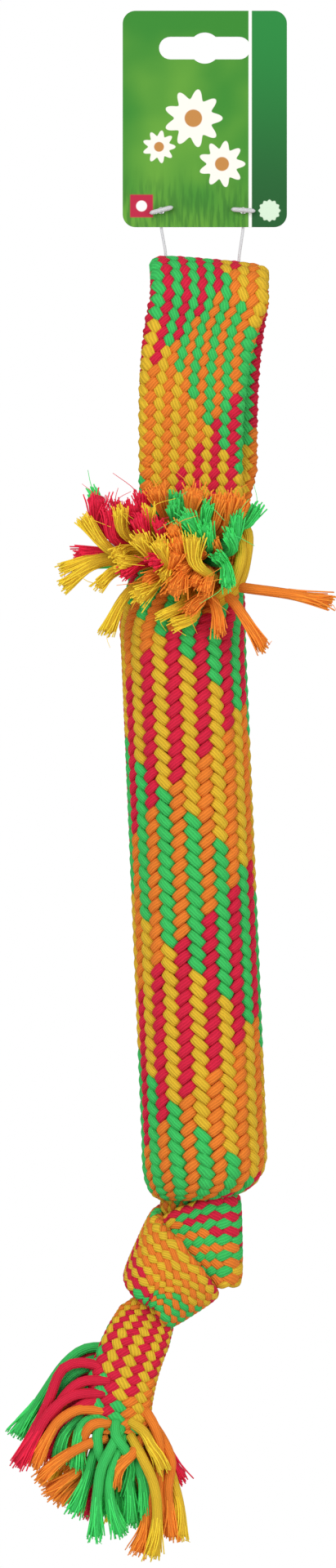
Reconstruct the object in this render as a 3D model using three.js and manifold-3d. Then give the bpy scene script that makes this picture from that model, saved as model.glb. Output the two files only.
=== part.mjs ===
// Crackle stick dog toy: one flat tubular braid, folded into a handle loop, swollen round a thin bottle and
// closed with an overhand knot, hanging from its card on two nylon tag pins.
// Millimetres, +Z up, X to the right and the viewer on the -Y side. The origin is the top of the card's slot.

import * as THREE from 'three';
import { mergeVertices } from 'three/addons/utils/BufferGeometryUtils.js';
import Module from 'manifold-3d';

const wasm = await Module();
wasm.setup();

// Clearance between pieces that touch
const TOUCH_GAP = 0.3;

// Hang card
const CARD_WIDTH = 57.4;
const CARD_HEIGHT = 75.7;
const CARD_THICKNESS = 0.6;
const CARD_CORNER_RADIUS = 4.5;
const SLOT_TOP_MARGIN = 7.6;
const SLOT_WIDTH = 32;
const SLOT_BAR_HEIGHT = 7.9;
const SLOT_BUMP_DIAMETER = 10.9;

// Tag pins
const PIN_FILAMENT_DIAMETER = 0.9;
const PIN_BAR_DIAMETER = 1.2;
const PIN_BAR_LENGTH = 8.5;
const PIN_BAR_STANDOFF = 0.7;
const PIN_HOLE_DIAMETER = 2.4;
const PIN_HOLE_FROM_BOTTOM = 5.8;
const PIN_CENTRE_X = -0.9;
const PIN_SPREAD_AT_CARD = 28.6;
const PIN_SPREAD_AT_STRAP = 25.7;
const PIN_SWING = THREE.MathUtils.degToRad(41);

// Handle loop, a hairpin of flattened braid
const PIN_DROP = 12.4;
const HANDLE_LENGTH = 77.3;
const STRAP_THICKNESS = 8;
const STRAP_FOLD_WIDTH = 42;
const STRAP_ROOT_WIDTH = 36.4;
const LOOP_GAP = 12;
const ROOT_GAP = 6;
const FOLD_CENTRE_X = 1.6;
const FOLD_TILT = THREE.MathUtils.degToRad(5);
const ROOT_FRONT_X = -4.9;
const ROOT_REAR_X = -1.1;
const FLEX_LENGTH = 14;

// Neck with its slit, and the loop's end that is pulled through it
const NECK_LENGTH = 50;
const SLIT_DROP = 26.2;
const SLIT_X = -5.2;
const SLIT_WIDTH = 25;
const SLIT_HEIGHT = 10.4;
const LOOP_END_SWING_RADIUS = 9;

// Tuft of frayed ends on the loop's end
const TUFT_CENTRE_X = -8;
const TUFT_HEAD_RADIUS = 9;
const TUFT_HEAD_STANDOFF = 3.5;
const TUFT_SPREAD = 1.45;
const TUFT_DROOP = 0.012;

// Sleeve round the bottle
const SLEEVE_DIAMETER = 44;
const SLEEVE_WALL = 4.2;
const SLEEVE_LEAN = THREE.MathUtils.degToRad(2.43);
const SHOULDER_X = -7.8;
const TUBE_LENGTH = 181.2;
const DOME_HEIGHT = 20;
const GATHER_X = -7.4;
const GATHER_WIDTH = 12;
const GATHER_DEPTH = 11;
const GATHER_BORE_WIDTH = 7;
const GATHER_BORE_DEPTH = 6;

// Bottle and cap inside the sleeve
const BOTTLE_CLEARANCE = 0.5;
const BOTTLE_WALL = 0.6;
const BOTTLE_MOUTH_RADIUS = 8;
const BOTTLE_MOUTH_HEIGHT = 9;
const BOTTLE_SHOULDER_HEIGHT = 14;
const BOTTLE_BASE_TAPER = 5;
const BOTTLE_BASE_DROP = 3;
const BOTTLE_MOUTH_RISE = 1.5;
const BOTTLE_RIB_DEPTH = 0.8;
const BOTTLE_RIB_PITCH = 24;
const BOTTLE_RIB_HALF_WIDTH = 2;
const CAP_WALL = 1.4;
const CAP_HEIGHT = 8;

// Overhand knot
const KNOT_STRAP_THICKNESS = 6;
const KNOT_LAYER_GAP = 1;
const KNOT_NECK_LENGTH = 5;
const KNOT_X = -11;

// Tail
const TAIL_FLEX_LENGTH = 7;
const TAIL_WIDTH = 21;
const TAIL_THICKNESS = 8;
const TAIL_END_WIDTH = 36;
const TAIL_END_THICKNESS = 13.5;
const TAIL_ANGLE = THREE.MathUtils.degToRad(252);
const TAIL_END_ANGLE = THREE.MathUtils.degToRad(236);
const TAIL_BRAID_LENGTH = 22;
const TAIL_FAN_DEPTH = 12;
const TAIL_COLUMN_PITCH = 4.6;
const TAIL_ROW_PITCH = 4;
const TAIL_DROOP = 9.5;

// Loose yarn
const YARN_DIAMETER = 3.2;
const YARN_TIP_DIAMETER = 6;

// Facets
const CORNER_SEGMENTS = 6;
const PIN_STEPS = 24;
const PIN_SIDES = 8;
const HANDLE_RINGS = 36;
const LOOP_END_RINGS = 14;
const KNOT_RINGS = 74;
const TAIL_ROOT_RINGS = 4;
const TAIL_BRAID_RINGS = 9;
const STRAP_SIDES = 12;
const SLEEVE_SIDES = 24;
const ROUND_SEGMENTS = 24;
const YARN_SIDES = 6;
const YARN_STEPS = 6;
const FLAT_BRAID = 0.55;
const SOFT_OVAL = 0.95;

// Heights, from the slot down
const CARD_TOP = SLOT_TOP_MARGIN;
const CARD_BOTTOM = CARD_TOP - CARD_HEIGHT;
const PIN_HOLE_Z = CARD_BOTTOM + PIN_HOLE_FROM_BOTTOM;
const FOLD_TOP = CARD_BOTTOM - PIN_DROP;
const FOLD_RADIUS = (LOOP_GAP + STRAP_THICKNESS) / 2;
const FOLD_CENTRE_Z = FOLD_TOP - STRAP_THICKNESS / 2 - FOLD_RADIUS;
const ROOT_Y = (ROOT_GAP + STRAP_THICKNESS) / 2;
const NECK_HINGE_Z = FOLD_TOP - HANDLE_LENGTH;
const SLIT_Z = NECK_HINGE_Z - SLIT_DROP;
const SHOULDER_Z = NECK_HINGE_Z - NECK_LENGTH;
const DOME_Z = SHOULDER_Z - TUBE_LENGTH;
const GATHER_Z = DOME_Z - DOME_HEIGHT;
const SLEEVE_RADIUS = SLEEVE_DIAMETER / 2;
const CAVITY_RADIUS = SLEEVE_RADIUS - SLEEVE_WALL;
const KNOT_PITCH = KNOT_STRAP_THICKNESS + KNOT_LAYER_GAP;
const CORE_Y = KNOT_PITCH / 2;

// Finishes
const YARN_ROUGHNESS = 0.9;
const YARN_COLOURS = { red: 0xd6233c, orange: 0xee7823, yellow: 0xe1af28, green: 0x3ccd5a };
const FINISH = {
  card: { color: 0x4f9e3a, roughness: 0.5 },
  nylon: { color: 0xe8ecec, roughness: 0.3 },
  braid: { color: 0xe8862a, roughness: 0.9 },
  bottle: { color: 0xcfe3ea, roughness: 0.15 },
  cap: { color: 0xf2f2ee, roughness: 0.4 },
};

const AXIS_X = new THREE.Vector3(1, 0, 0);
const AXIS_Y = new THREE.Vector3(0, 1, 0);
const UP = new THREE.Vector3(0, 0, 1);
const DOWN = new THREE.Vector3(0, 0, -1);
const mix = THREE.MathUtils.lerp;

const toy = new THREE.Group();
toy.name = 'crackle_stick';

function addPiece(name, geometry, finish, parent = toy) {
  const mesh = new THREE.Mesh(geometry, new THREE.MeshStandardMaterial({ metalness: 0, ...finish }));
  mesh.name = name;
  parent.add(mesh);
  return mesh;
}

// A closed solid from a bare geometry, for joins and cuts
function toSolid(geometry) {
  const bare = geometry.clone();
  bare.deleteAttribute('normal');
  bare.deleteAttribute('uv');
  const merged = mergeVertices(bare);
  const vertProperties = new Float32Array(merged.attributes.position.array);
  const triVerts = new Uint32Array(merged.index.array);
  return new wasm.Manifold(new wasm.Mesh({ numProp: 3, vertProperties, triVerts }));
}

function toGeometry(solid) {
  const mesh = solid.getMesh();
  const geometry = new THREE.BufferGeometry();
  geometry.setAttribute('position', new THREE.BufferAttribute(mesh.vertProperties, 3));
  geometry.setIndex(new THREE.BufferAttribute(mesh.triVerts, 1));
  geometry.computeVertexNormals();
  return geometry;
}

function signedVolume(positions, index) {
  const corner = (i) => new THREE.Vector3().fromArray(positions, 3 * index[i]);
  let volume = 0;
  for (let i = 0; i < index.length; i += 3) {
    volume += corner(i).dot(corner(i + 1).cross(corner(i + 2)));
  }
  return volume / 6;
}

// A closed skin over rings of equally many points, with a fan on the first and the last ring
function loft(rings) {
  const sides = rings[0].length;
  const positions = rings.flat().flatMap((point) => point.toArray());
  const index = [];
  for (let i = 0; i < rings.length - 1; i++) {
    for (let k = 0; k < sides; k++) {
      const a = i * sides + k;
      const b = i * sides + ((k + 1) % sides);
      index.push(a, b, a + sides, b, b + sides, a + sides);
    }
  }
  for (const r of [0, rings.length - 1]) {
    const hub = positions.length / 3;
    const centre = new THREE.Vector3();
    rings[r].forEach((point) => centre.addScaledVector(point, 1 / sides));
    positions.push(...centre.toArray());
    for (let k = 0; k < sides; k++) {
      const a = r * sides + k;
      const b = r * sides + ((k + 1) % sides);
      index.push(...(r === 0 ? [hub, b, a] : [hub, a, b]));
    }
  }
  if (signedVolume(positions, index) < 0) index.reverse();
  const geometry = new THREE.BufferGeometry();
  geometry.setAttribute('position', new THREE.Float32BufferAttribute(positions, 3));
  geometry.setIndex(index);
  geometry.computeVertexNormals();
  return geometry;
}

// One cross-section: an oval that gets squarer as roundness falls below 1
function ovalRing(centre, across, outward, halfWidth, halfDepth, sides, roundness) {
  const bulge = (value) => Math.sign(value) * Math.abs(value) ** roundness;
  return Array.from({ length: sides }, (_, k) => {
    const angle = (2 * Math.PI * (k + 0.5)) / sides;
    return centre
      .clone()
      .addScaledVector(across, halfWidth * bulge(Math.cos(angle)))
      .addScaledVector(outward, halfDepth * bulge(Math.sin(angle)));
  });
}

// A flat braid swept along stations { at, across, halfWidth, halfDepth }, with rings square to the route.
// Where a neighbour's flat end meets it, the first or last ring is square to a given direction instead.
function sweepStrap(stations, ringCount, sides, roundness, ends = {}) {
  const route = new THREE.CatmullRomCurve3(stations.map((s) => s.at));
  const sideways = new THREE.CatmullRomCurve3(stations.map((s) => s.across));
  const halves = new THREE.CatmullRomCurve3(
    stations.map((s) => new THREE.Vector3(s.halfWidth, s.halfDepth, 0)),
  );
  const rings = [];
  for (let i = 0; i < ringCount; i++) {
    const t = i / (ringCount - 1);
    const squareTo = { 0: ends.start, [ringCount - 1]: ends.finish }[i];
    const tangent = squareTo ?? route.getTangent(t);
    const across = sideways.getPoint(t).normalize();
    const outward = across.clone().cross(tangent).normalize();
    const half = halves.getPoint(t);
    rings.push(ovalRing(route.getPoint(t), across, outward, half.x, half.y, sides, roundness));
  }
  return rings;
}

function roundedRectangle(width, bottom, top, radius) {
  const right = width / 2;
  const shape = new THREE.Shape();
  shape.absarc(right - radius, top - radius, radius, 0, Math.PI / 2);
  shape.absarc(radius - right, top - radius, radius, Math.PI / 2, Math.PI);
  shape.absarc(radius - right, bottom + radius, radius, Math.PI, 1.5 * Math.PI);
  shape.absarc(right - radius, bottom + radius, radius, 1.5 * Math.PI, 2 * Math.PI);
  shape.closePath();
  return shape;
}

// Euro slot: a bar with round ends and a round bump in its middle
function euroSlot() {
  const slot = new THREE.Path();
  const half = SLOT_BAR_HEIGHT / 2;
  const bump = SLOT_BUMP_DIAMETER / 2;
  const middle = -bump;
  const end = SLOT_WIDTH / 2 - half;
  const meet = Math.asin(half / bump);
  slot.absarc(0, middle, bump, meet, Math.PI - meet);
  slot.absarc(-end, middle, half, Math.PI / 2, 1.5 * Math.PI);
  slot.absarc(0, middle, bump, Math.PI + meet, 2 * Math.PI - meet);
  slot.absarc(end, middle, half, -Math.PI / 2, Math.PI / 2);
  slot.closePath();
  return slot;
}

function pinSides() {
  return [
    { name: 'tag_pin_left', side: -1 },
    { name: 'tag_pin_right', side: 1 },
  ].map(({ name, side }) => ({
    name,
    cardX: PIN_CENTRE_X + (side * PIN_SPREAD_AT_CARD) / 2,
    strapX: PIN_CENTRE_X + (side * PIN_SPREAD_AT_STRAP) / 2,
  }));
}

function addHangCard() {
  const shape = roundedRectangle(CARD_WIDTH, CARD_BOTTOM, CARD_TOP, CARD_CORNER_RADIUS);
  shape.holes.push(euroSlot());
  for (const { cardX } of pinSides()) {
    const hole = new THREE.Path();
    hole.absarc(cardX, PIN_HOLE_Z, PIN_HOLE_DIAMETER / 2, 0, 2 * Math.PI);
    shape.holes.push(hole);
  }
  const geometry = new THREE.ExtrudeGeometry(shape, {
    depth: CARD_THICKNESS,
    bevelEnabled: false,
    curveSegments: CORNER_SEGMENTS,
  });
  geometry.rotateX(Math.PI / 2);
  geometry.translate(0, CARD_THICKNESS / 2, 0);
  addPiece('hang_card', geometry, FINISH.card);
}

// Height of the pin's lower bar, just under the inside of the tilted fold
function lowerBarZ(x) {
  const foldTop = FOLD_TOP - (x - FOLD_CENTRE_X) * Math.tan(FOLD_TILT);
  return foldTop - STRAP_THICKNESS / Math.cos(FOLD_TILT) - TOUCH_GAP - PIN_BAR_DIAMETER / 2;
}

function pinBar(at, lean) {
  const radius = PIN_BAR_DIAMETER / 2;
  const bar = new THREE.CylinderGeometry(radius, radius, PIN_BAR_LENGTH, PIN_SIDES);
  bar.rotateZ(Math.PI / 2);
  bar.rotateY(lean);
  bar.translate(at.x, at.y, at.z);
  return bar;
}

// A bar in front of the card, a filament through its hole and down behind it, and a bar inside the fold
function addTagPins() {
  const barY = -CARD_THICKNESS / 2 - PIN_BAR_STANDOFF - PIN_BAR_DIAMETER / 2;
  const behindY = CARD_THICKNESS / 2 + TOUCH_GAP + PIN_FILAMENT_DIAMETER / 2;
  const section = new THREE.Shape();
  section.absarc(0, 0, PIN_FILAMENT_DIAMETER / 2, 0, 2 * Math.PI);
  for (const { name, cardX, strapX } of pinSides()) {
    const upper = new THREE.Vector3(cardX, barY, PIN_HOLE_Z);
    const lower = new THREE.Vector3(strapX, 0, lowerBarZ(strapX));
    const cardEdge = new THREE.Vector3(cardX, behindY, CARD_BOTTOM);
    const foldEntry = lower.clone().setZ(lower.z + STRAP_THICKNESS + PIN_DROP / 4);
    const route = new THREE.CatmullRomCurve3([
      upper,
      new THREE.Vector3(cardX, 0, PIN_HOLE_Z),
      new THREE.Vector3(cardX, behindY, PIN_HOLE_Z - PIN_HOLE_DIAMETER / 2),
      cardEdge,
      cardEdge.clone().lerp(foldEntry, 0.5),
      foldEntry,
      lower,
    ]);
    const filament = new THREE.ExtrudeGeometry(section, {
      steps: PIN_STEPS,
      extrudePath: route,
      curveSegments: CORNER_SEGMENTS,
    });
    const pin = toSolid(filament)
      .add(toSolid(pinBar(upper, 0)))
      .add(toSolid(pinBar(lower, FOLD_TILT)));
    addPiece(name, toGeometry(pin), FINISH.nylon);
  }
}

function tiltedAcross(tilt) {
  return new THREE.Vector3(Math.cos(tilt), 0, -Math.sin(tilt));
}

// One leg of the handle, from its root (share 0) to the start of the fold (share 1)
function legStation(side, share) {
  const spread = THREE.MathUtils.smoothstep(share, 0, 0.6);
  const rootX = side > 0 ? ROOT_REAR_X : ROOT_FRONT_X;
  return {
    at: new THREE.Vector3(
      mix(rootX, FOLD_CENTRE_X, share * share),
      side * mix(ROOT_Y, FOLD_RADIUS, spread),
      mix(NECK_HINGE_Z + FLEX_LENGTH / 2, FOLD_CENTRE_Z, share),
    ),
    across: tiltedAcross(FOLD_TILT * share),
    halfWidth: mix(STRAP_ROOT_WIDTH, STRAP_FOLD_WIDTH, share) / 2,
    halfDepth: STRAP_THICKNESS / 2,
  };
}

function foldStation(angle) {
  return {
    at: new THREE.Vector3(
      FOLD_CENTRE_X,
      FOLD_RADIUS * Math.cos(angle),
      FOLD_CENTRE_Z + FOLD_RADIUS * Math.sin(angle),
    ),
    across: tiltedAcross(FOLD_TILT),
    halfWidth: STRAP_FOLD_WIDTH / 2,
    halfDepth: STRAP_THICKNESS / 2,
  };
}

// Room for a filament that swings about its lower bar, cut through the fold
function pinFan(x) {
  const halfSlot = PIN_FILAMENT_DIAMETER / 2 + TOUCH_GAP;
  const reach = STRAP_THICKNESS + 2 * PIN_BAR_DIAMETER;
  const halfReach = halfSlot + reach * Math.tan(PIN_SWING);
  const fan = new THREE.Shape([
    new THREE.Vector2(-halfSlot, -PIN_BAR_DIAMETER / 2),
    new THREE.Vector2(halfSlot, -PIN_BAR_DIAMETER / 2),
    new THREE.Vector2(halfSlot, 0),
    new THREE.Vector2(halfReach, reach),
    new THREE.Vector2(-halfReach, reach),
    new THREE.Vector2(-halfSlot, 0),
  ]);
  const cut = new THREE.ExtrudeGeometry(fan, { depth: 2 * halfSlot, bevelEnabled: false });
  cut.rotateX(Math.PI / 2);
  cut.rotateZ(Math.PI / 2);
  cut.translate(x - halfSlot, 0, lowerBarZ(x));
  return cut;
}

function addHandle() {
  const legShares = [0, 0.3, 0.55, 0.8];
  const foldAngles = [0, 30, 60, 90, 120, 150, 180].map(THREE.MathUtils.degToRad);
  const stations = [
    ...legShares.map((share) => legStation(1, share)),
    ...foldAngles.map(foldStation),
    ...legShares.toReversed().map((share) => legStation(-1, share)),
  ];
  const ends = { start: UP, finish: DOWN };
  let strap = toSolid(loft(sweepStrap(stations, HANDLE_RINGS, STRAP_SIDES, FLAT_BRAID, ends)));
  for (const { strapX } of pinSides()) {
    strap = strap.subtract(toSolid(pinFan(strapX)));
  }
  addPiece('handle_strap', toGeometry(strap), FINISH.braid);
}

// The two short lengths of strap that bend when the handle folds against the stick
function addStrapRoots() {
  const roots = [
    { name: 'strap_root_front', x: ROOT_FRONT_X, y: -ROOT_Y },
    { name: 'strap_root_rear', x: ROOT_REAR_X, y: ROOT_Y },
  ];
  const half = FLEX_LENGTH / 2 - TOUCH_GAP;
  for (const { name, x, y } of roots) {
    const rings = [half, 0, -half].map((rise) =>
      ovalRing(
        new THREE.Vector3(x, y, NECK_HINGE_Z + rise),
        AXIS_X,
        AXIS_Y,
        STRAP_ROOT_WIDTH / 2,
        STRAP_THICKNESS / 2,
        STRAP_SIDES,
        FLAT_BRAID,
      ),
    );
    addPiece(name, loft(rings), FINISH.braid);
  }
}

function axisX(z) {
  return SHOULDER_X + Math.tan(SLEEVE_LEAN) * (SHOULDER_Z - z);
}

// A level section of the sleeve
function sleeveRing(x, y, z, halfWidth, halfDepth, roundness = 1) {
  const centre = new THREE.Vector3(x, y, z);
  return ovalRing(centre, AXIS_X, AXIS_Y, halfWidth, halfDepth, SLEEVE_SIDES, roundness);
}

// The flat neck opens from the front strap to the full tube: share runs from its top to the shoulder
function neckRing(share) {
  const top = NECK_HINGE_Z - FLEX_LENGTH / 2;
  const swell = THREE.MathUtils.smoothstep(share, 0.3, 1);
  return sleeveRing(
    mix(ROOT_FRONT_X, SHOULDER_X, share),
    mix(-ROOT_Y, 0, swell),
    mix(top, SHOULDER_Z, share),
    mix(STRAP_ROOT_WIDTH / 2, SLEEVE_RADIUS, swell),
    mix(STRAP_THICKNESS / 2, SLEEVE_RADIUS, swell),
    mix(FLAT_BRAID, 1, swell),
  );
}

// The dome gathers the tube towards the knot: turn runs from 0 at the tube to 90 degrees at the gather
function domeRing(turn, radius, height, gatherWidth, gatherDepth) {
  const drawn = 1 - Math.cos(turn);
  return sleeveRing(
    mix(axisX(DOME_Z), GATHER_X, drawn),
    mix(0, CORE_Y, drawn),
    DOME_Z - height * Math.sin(turn),
    mix(radius, gatherWidth / 2, drawn),
    mix(radius, gatherDepth / 2, drawn),
  );
}

function addSleeve() {
  const neckShares = [0, 0.2, 0.4, 0.55, 0.7, 0.85];
  const tubeShares = [0, 0.25, 0.5, 0.75, 1];
  const domeTurns = [20, 40, 60, 78].map(THREE.MathUtils.degToRad);
  const tubeRing = (share, radius) => {
    const z = mix(SHOULDER_Z, DOME_Z, share);
    return sleeveRing(axisX(z), 0, z, radius, radius);
  };
  const outerDome = (turn) => domeRing(turn, SLEEVE_RADIUS, DOME_HEIGHT, GATHER_WIDTH, GATHER_DEPTH);
  const innerHeight = DOME_HEIGHT - SLEEVE_WALL;
  const innerDome = (turn) =>
    domeRing(turn, CAVITY_RADIUS, innerHeight, GATHER_BORE_WIDTH, GATHER_BORE_DEPTH);
  const gatherRing = (width, depth) => sleeveRing(GATHER_X, CORE_Y, GATHER_Z, width / 2, depth / 2);
  const outer = [
    ...neckShares.map(neckRing),
    ...tubeShares.map((share) => tubeRing(share, SLEEVE_RADIUS)),
    ...domeTurns.map(outerDome),
    gatherRing(GATHER_WIDTH, GATHER_DEPTH),
  ];
  const cavityTop = SHOULDER_Z + BOTTLE_MOUTH_RISE + CAP_WALL + 2 * TOUCH_GAP;
  const cavityTopRadius = capRadius() + SLEEVE_WALL;
  const inner = [
    gatherRing(GATHER_BORE_WIDTH, GATHER_BORE_DEPTH),
    ...domeTurns.toReversed().map(innerDome),
    ...tubeShares.toReversed().map((share) => tubeRing(share, CAVITY_RADIUS)),
    sleeveRing(axisX(cavityTop), 0, cavityTop, cavityTopRadius, cavityTopRadius),
  ];
  const slit = new THREE.Shape();
  slit.absellipse(SLIT_X, SLIT_Z, SLIT_WIDTH / 2, SLIT_HEIGHT / 2, 0, 2 * Math.PI);
  const cut = new THREE.ExtrudeGeometry(slit, {
    depth: 2 * SLEEVE_DIAMETER,
    bevelEnabled: false,
    curveSegments: CORNER_SEGMENTS,
  });
  cut.rotateX(Math.PI / 2);
  cut.translate(0, SLEEVE_DIAMETER, 0);
  const sleeve = toSolid(loft([...outer, ...inner])).subtract(toSolid(cut));
  addPiece('braid_sleeve', toGeometry(sleeve), FINISH.braid);
}

function tuftCentre() {
  return new THREE.Vector3(TUFT_CENTRE_X, -ROOT_Y - STRAP_THICKNESS / 2 - TUFT_HEAD_STANDOFF, SLIT_Z);
}

// The rear strap's end: down behind the neck, forward through the slit and out into a rounded head
function addLoopEnd() {
  const wide = { halfWidth: STRAP_ROOT_WIDTH / 2, halfDepth: STRAP_THICKNESS / 2 };
  const pass = { halfWidth: SLIT_WIDTH / 2 - 2 * TOUCH_GAP, halfDepth: SLIT_HEIGHT / 2 - 2 * TOUCH_GAP };
  const station = (x, y, z, size) => ({ at: new THREE.Vector3(x, y, z), across: AXIS_X, ...size });
  const swing = (degrees) => {
    const share = THREE.MathUtils.smoothstep(degrees, 0, 60);
    const angle = THREE.MathUtils.degToRad(degrees);
    return {
      at: new THREE.Vector3(
        mix(ROOT_REAR_X, SLIT_X, share),
        ROOT_Y - LOOP_END_SWING_RADIUS * (1 - Math.cos(angle)),
        SLIT_Z + LOOP_END_SWING_RADIUS * (1 - Math.sin(angle)),
      ),
      across: AXIS_X,
      halfWidth: mix(wide.halfWidth, pass.halfWidth, share),
      halfDepth: mix(wide.halfDepth, pass.halfDepth, share),
    };
  };
  const strap = [
    station(ROOT_REAR_X, ROOT_Y, NECK_HINGE_Z - FLEX_LENGTH / 2, wide),
    ...[0, 22, 45, 68, 90].map(swing),
    station(SLIT_X, -ROOT_Y - STRAP_THICKNESS / 2, SLIT_Z, pass),
  ];
  const rings = sweepStrap(strap, LOOP_END_RINGS, STRAP_SIDES, SOFT_OVAL, { start: DOWN });
  const centre = tuftCentre();
  const headRadius = TUFT_HEAD_RADIUS - TOUCH_GAP;
  for (const turn of [10, 35, 60, 80].map(THREE.MathUtils.degToRad)) {
    const at = centre.clone().setY(centre.y - headRadius * Math.sin(turn));
    const halfHeight = headRadius * Math.cos(turn);
    rings.push(ovalRing(at, AXIS_X, UP, TUFT_SPREAD * halfHeight, halfHeight, STRAP_SIDES, 1));
  }
  addPiece('loop_end', loft(rings), FINISH.braid);
}

// A yarn end whose centre line is given by pointAt(share), flaring towards its cut tip
function yarnGeometry(pointAt) {
  const rings = [];
  const step = 1 / YARN_STEPS;
  for (let i = 0; i <= YARN_STEPS; i++) {
    const share = i * step;
    const tangent = pointAt(share + step / 10).sub(pointAt(share - step / 10)).normalize();
    const reference = Math.abs(tangent.y) > 0.8 ? AXIS_X : AXIS_Y;
    const across = tangent.clone().cross(reference).normalize();
    const outward = tangent.clone().cross(across);
    const radius = mix(YARN_DIAMETER, YARN_TIP_DIAMETER, share ** 3) / 2;
    rings.push(ovalRing(pointAt(share), across, outward, radius, radius, YARN_SIDES, 1));
  }
  return loft(rings);
}

function addYarn(prefix, number, colour, pointAt) {
  const name = `${prefix}_yarn_${String(number).padStart(2, '0')}`;
  addPiece(name, yarnGeometry(pointAt), { color: YARN_COLOURS[colour], roughness: YARN_ROUGHNESS });
}

// Rows of the tuft from its top to its bottom: rise angle, then [turn from straight ahead, reach, colour]
const TUFT_ROWS = [
  {
    rise: 70,
    yarns: [[-70, 27, 'red'], [0, 27, 'orange'], [65, 26, 'orange']],
  },
  {
    rise: 45,
    yarns: [
      [-72, 30, 'red'],
      [-38, 29, 'yellow'],
      [-6, 25, 'red'],
      [26, 24, 'green'],
      [60, 27, 'green'],
    ],
  },
  {
    rise: 19,
    yarns: [
      [-76, 31, 'yellow'],
      [-50, 30, 'yellow'],
      [-24, 26, 'yellow'],
      [2, 24, 'orange'],
      [28, 24, 'green'],
      [56, 22, 'green'],
    ],
  },
  {
    rise: -7,
    yarns: [
      [-72, 32, 'red'],
      [-45, 31, 'yellow'],
      [-18, 27, 'orange'],
      [9, 26, 'yellow'],
      [38, 25, 'orange'],
      [76, 38, 'orange'],
    ],
  },
  {
    rise: -32,
    yarns: [[-48, 33, 'yellow'], [-10, 31, 'yellow'], [38, 33, 'orange']],
  },
];

// Yarns burst from the head's centre, stretched sideways, and droop more the further they reach
function addTuft() {
  const centre = tuftCentre();
  let number = 0;
  for (const { rise, yarns } of TUFT_ROWS) {
    for (const [turn, reach, colour] of yarns) {
      const up = THREE.MathUtils.degToRad(rise);
      const around = THREE.MathUtils.degToRad(turn);
      const ray = new THREE.Vector3(
        TUFT_SPREAD * Math.sin(around) * Math.cos(up),
        -Math.cos(around) * Math.cos(up),
        Math.sin(up),
      );
      const pointAt = (share) => {
        const distance = mix(TUFT_HEAD_RADIUS, reach, share);
        const droop = TUFT_DROOP * (distance - TUFT_HEAD_RADIUS) ** 2;
        return centre.clone().addScaledVector(ray, distance).add(new THREE.Vector3(0, 0, -droop));
      };
      number += 1;
      addYarn('tuft', number, colour, pointAt);
    }
  }
}

function capRadius() {
  return BOTTLE_MOUTH_RADIUS + TOUCH_GAP + CAP_WALL;
}

// Thin bottle with ribs and a screw cap, leaning with the sleeve
function addBottle() {
  const bodyRadius = CAVITY_RADIUS - BOTTLE_CLEARANCE;
  const length = TUBE_LENGTH + BOTTLE_BASE_DROP + BOTTLE_MOUTH_RISE;
  const bodyTop = length - BOTTLE_MOUTH_HEIGHT - BOTTLE_SHOULDER_HEIGHT;
  const outline = [
    [bodyRadius - BOTTLE_BASE_TAPER, 0],
    [bodyRadius, BOTTLE_BASE_TAPER],
  ];
  const ribCount = Math.floor((bodyTop - 2 * BOTTLE_RIB_PITCH) / BOTTLE_RIB_PITCH);
  for (let rib = 1; rib <= ribCount; rib++) {
    const height = BOTTLE_RIB_PITCH * rib;
    outline.push(
      [bodyRadius, height - BOTTLE_RIB_HALF_WIDTH],
      [bodyRadius - BOTTLE_RIB_DEPTH, height],
      [bodyRadius, height + BOTTLE_RIB_HALF_WIDTH],
    );
  }
  outline.push(
    [bodyRadius, bodyTop],
    [BOTTLE_MOUTH_RADIUS, bodyTop + BOTTLE_SHOULDER_HEIGHT],
    [BOTTLE_MOUTH_RADIUS, length],
  );
  const inside = outline.map(([radius, height]) => [radius - BOTTLE_WALL, Math.max(height, BOTTLE_WALL)]);
  inside[inside.length - 1][1] = length;
  const profile = [[0, 0], ...outline, ...inside.toReversed(), [0, BOTTLE_WALL]];
  const bottle = new THREE.LatheGeometry(
    profile.map(([radius, height]) => new THREE.Vector2(radius, height)),
    ROUND_SEGMENTS,
  );
  const capInner = BOTTLE_MOUTH_RADIUS + TOUCH_GAP;
  const capTop = length + TOUCH_GAP + CAP_WALL;
  const capProfile = [
    [0, capTop],
    [capRadius(), capTop],
    [capRadius(), capTop - CAP_HEIGHT],
    [capInner, capTop - CAP_HEIGHT],
    [capInner, capTop - CAP_WALL],
    [0, capTop - CAP_WALL],
  ];
  const cap = new THREE.LatheGeometry(
    capProfile.reverse().map(([radius, height]) => new THREE.Vector2(radius, height)),
    ROUND_SEGMENTS,
  );
  const stand = new THREE.Group();
  stand.position.set(axisX(DOME_Z - BOTTLE_BASE_DROP), 0, DOME_Z - BOTTLE_BASE_DROP);
  stand.rotation.y = -SLEEVE_LEAN;
  toy.add(stand);
  bottle.rotateX(Math.PI / 2);
  cap.rotateX(Math.PI / 2);
  addPiece('crackle_bottle', bottle, FINISH.bottle, stand);
  addPiece('bottle_cap', cap, FINISH.cap, stand);
}

// A station of the knot, from its top: sideways and down, its layer, its width's direction
function knotStation(dx, dz, layer, turn, halfWidth) {
  const across = THREE.MathUtils.degToRad(turn);
  return {
    at: new THREE.Vector3(KNOT_X + dx, -layer * KNOT_PITCH, GATHER_Z + dz),
    across: new THREE.Vector3(Math.cos(across), 0, Math.sin(across)),
    halfWidth,
    halfDepth: KNOT_STRAP_THICKNESS / 2,
  };
}

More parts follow.
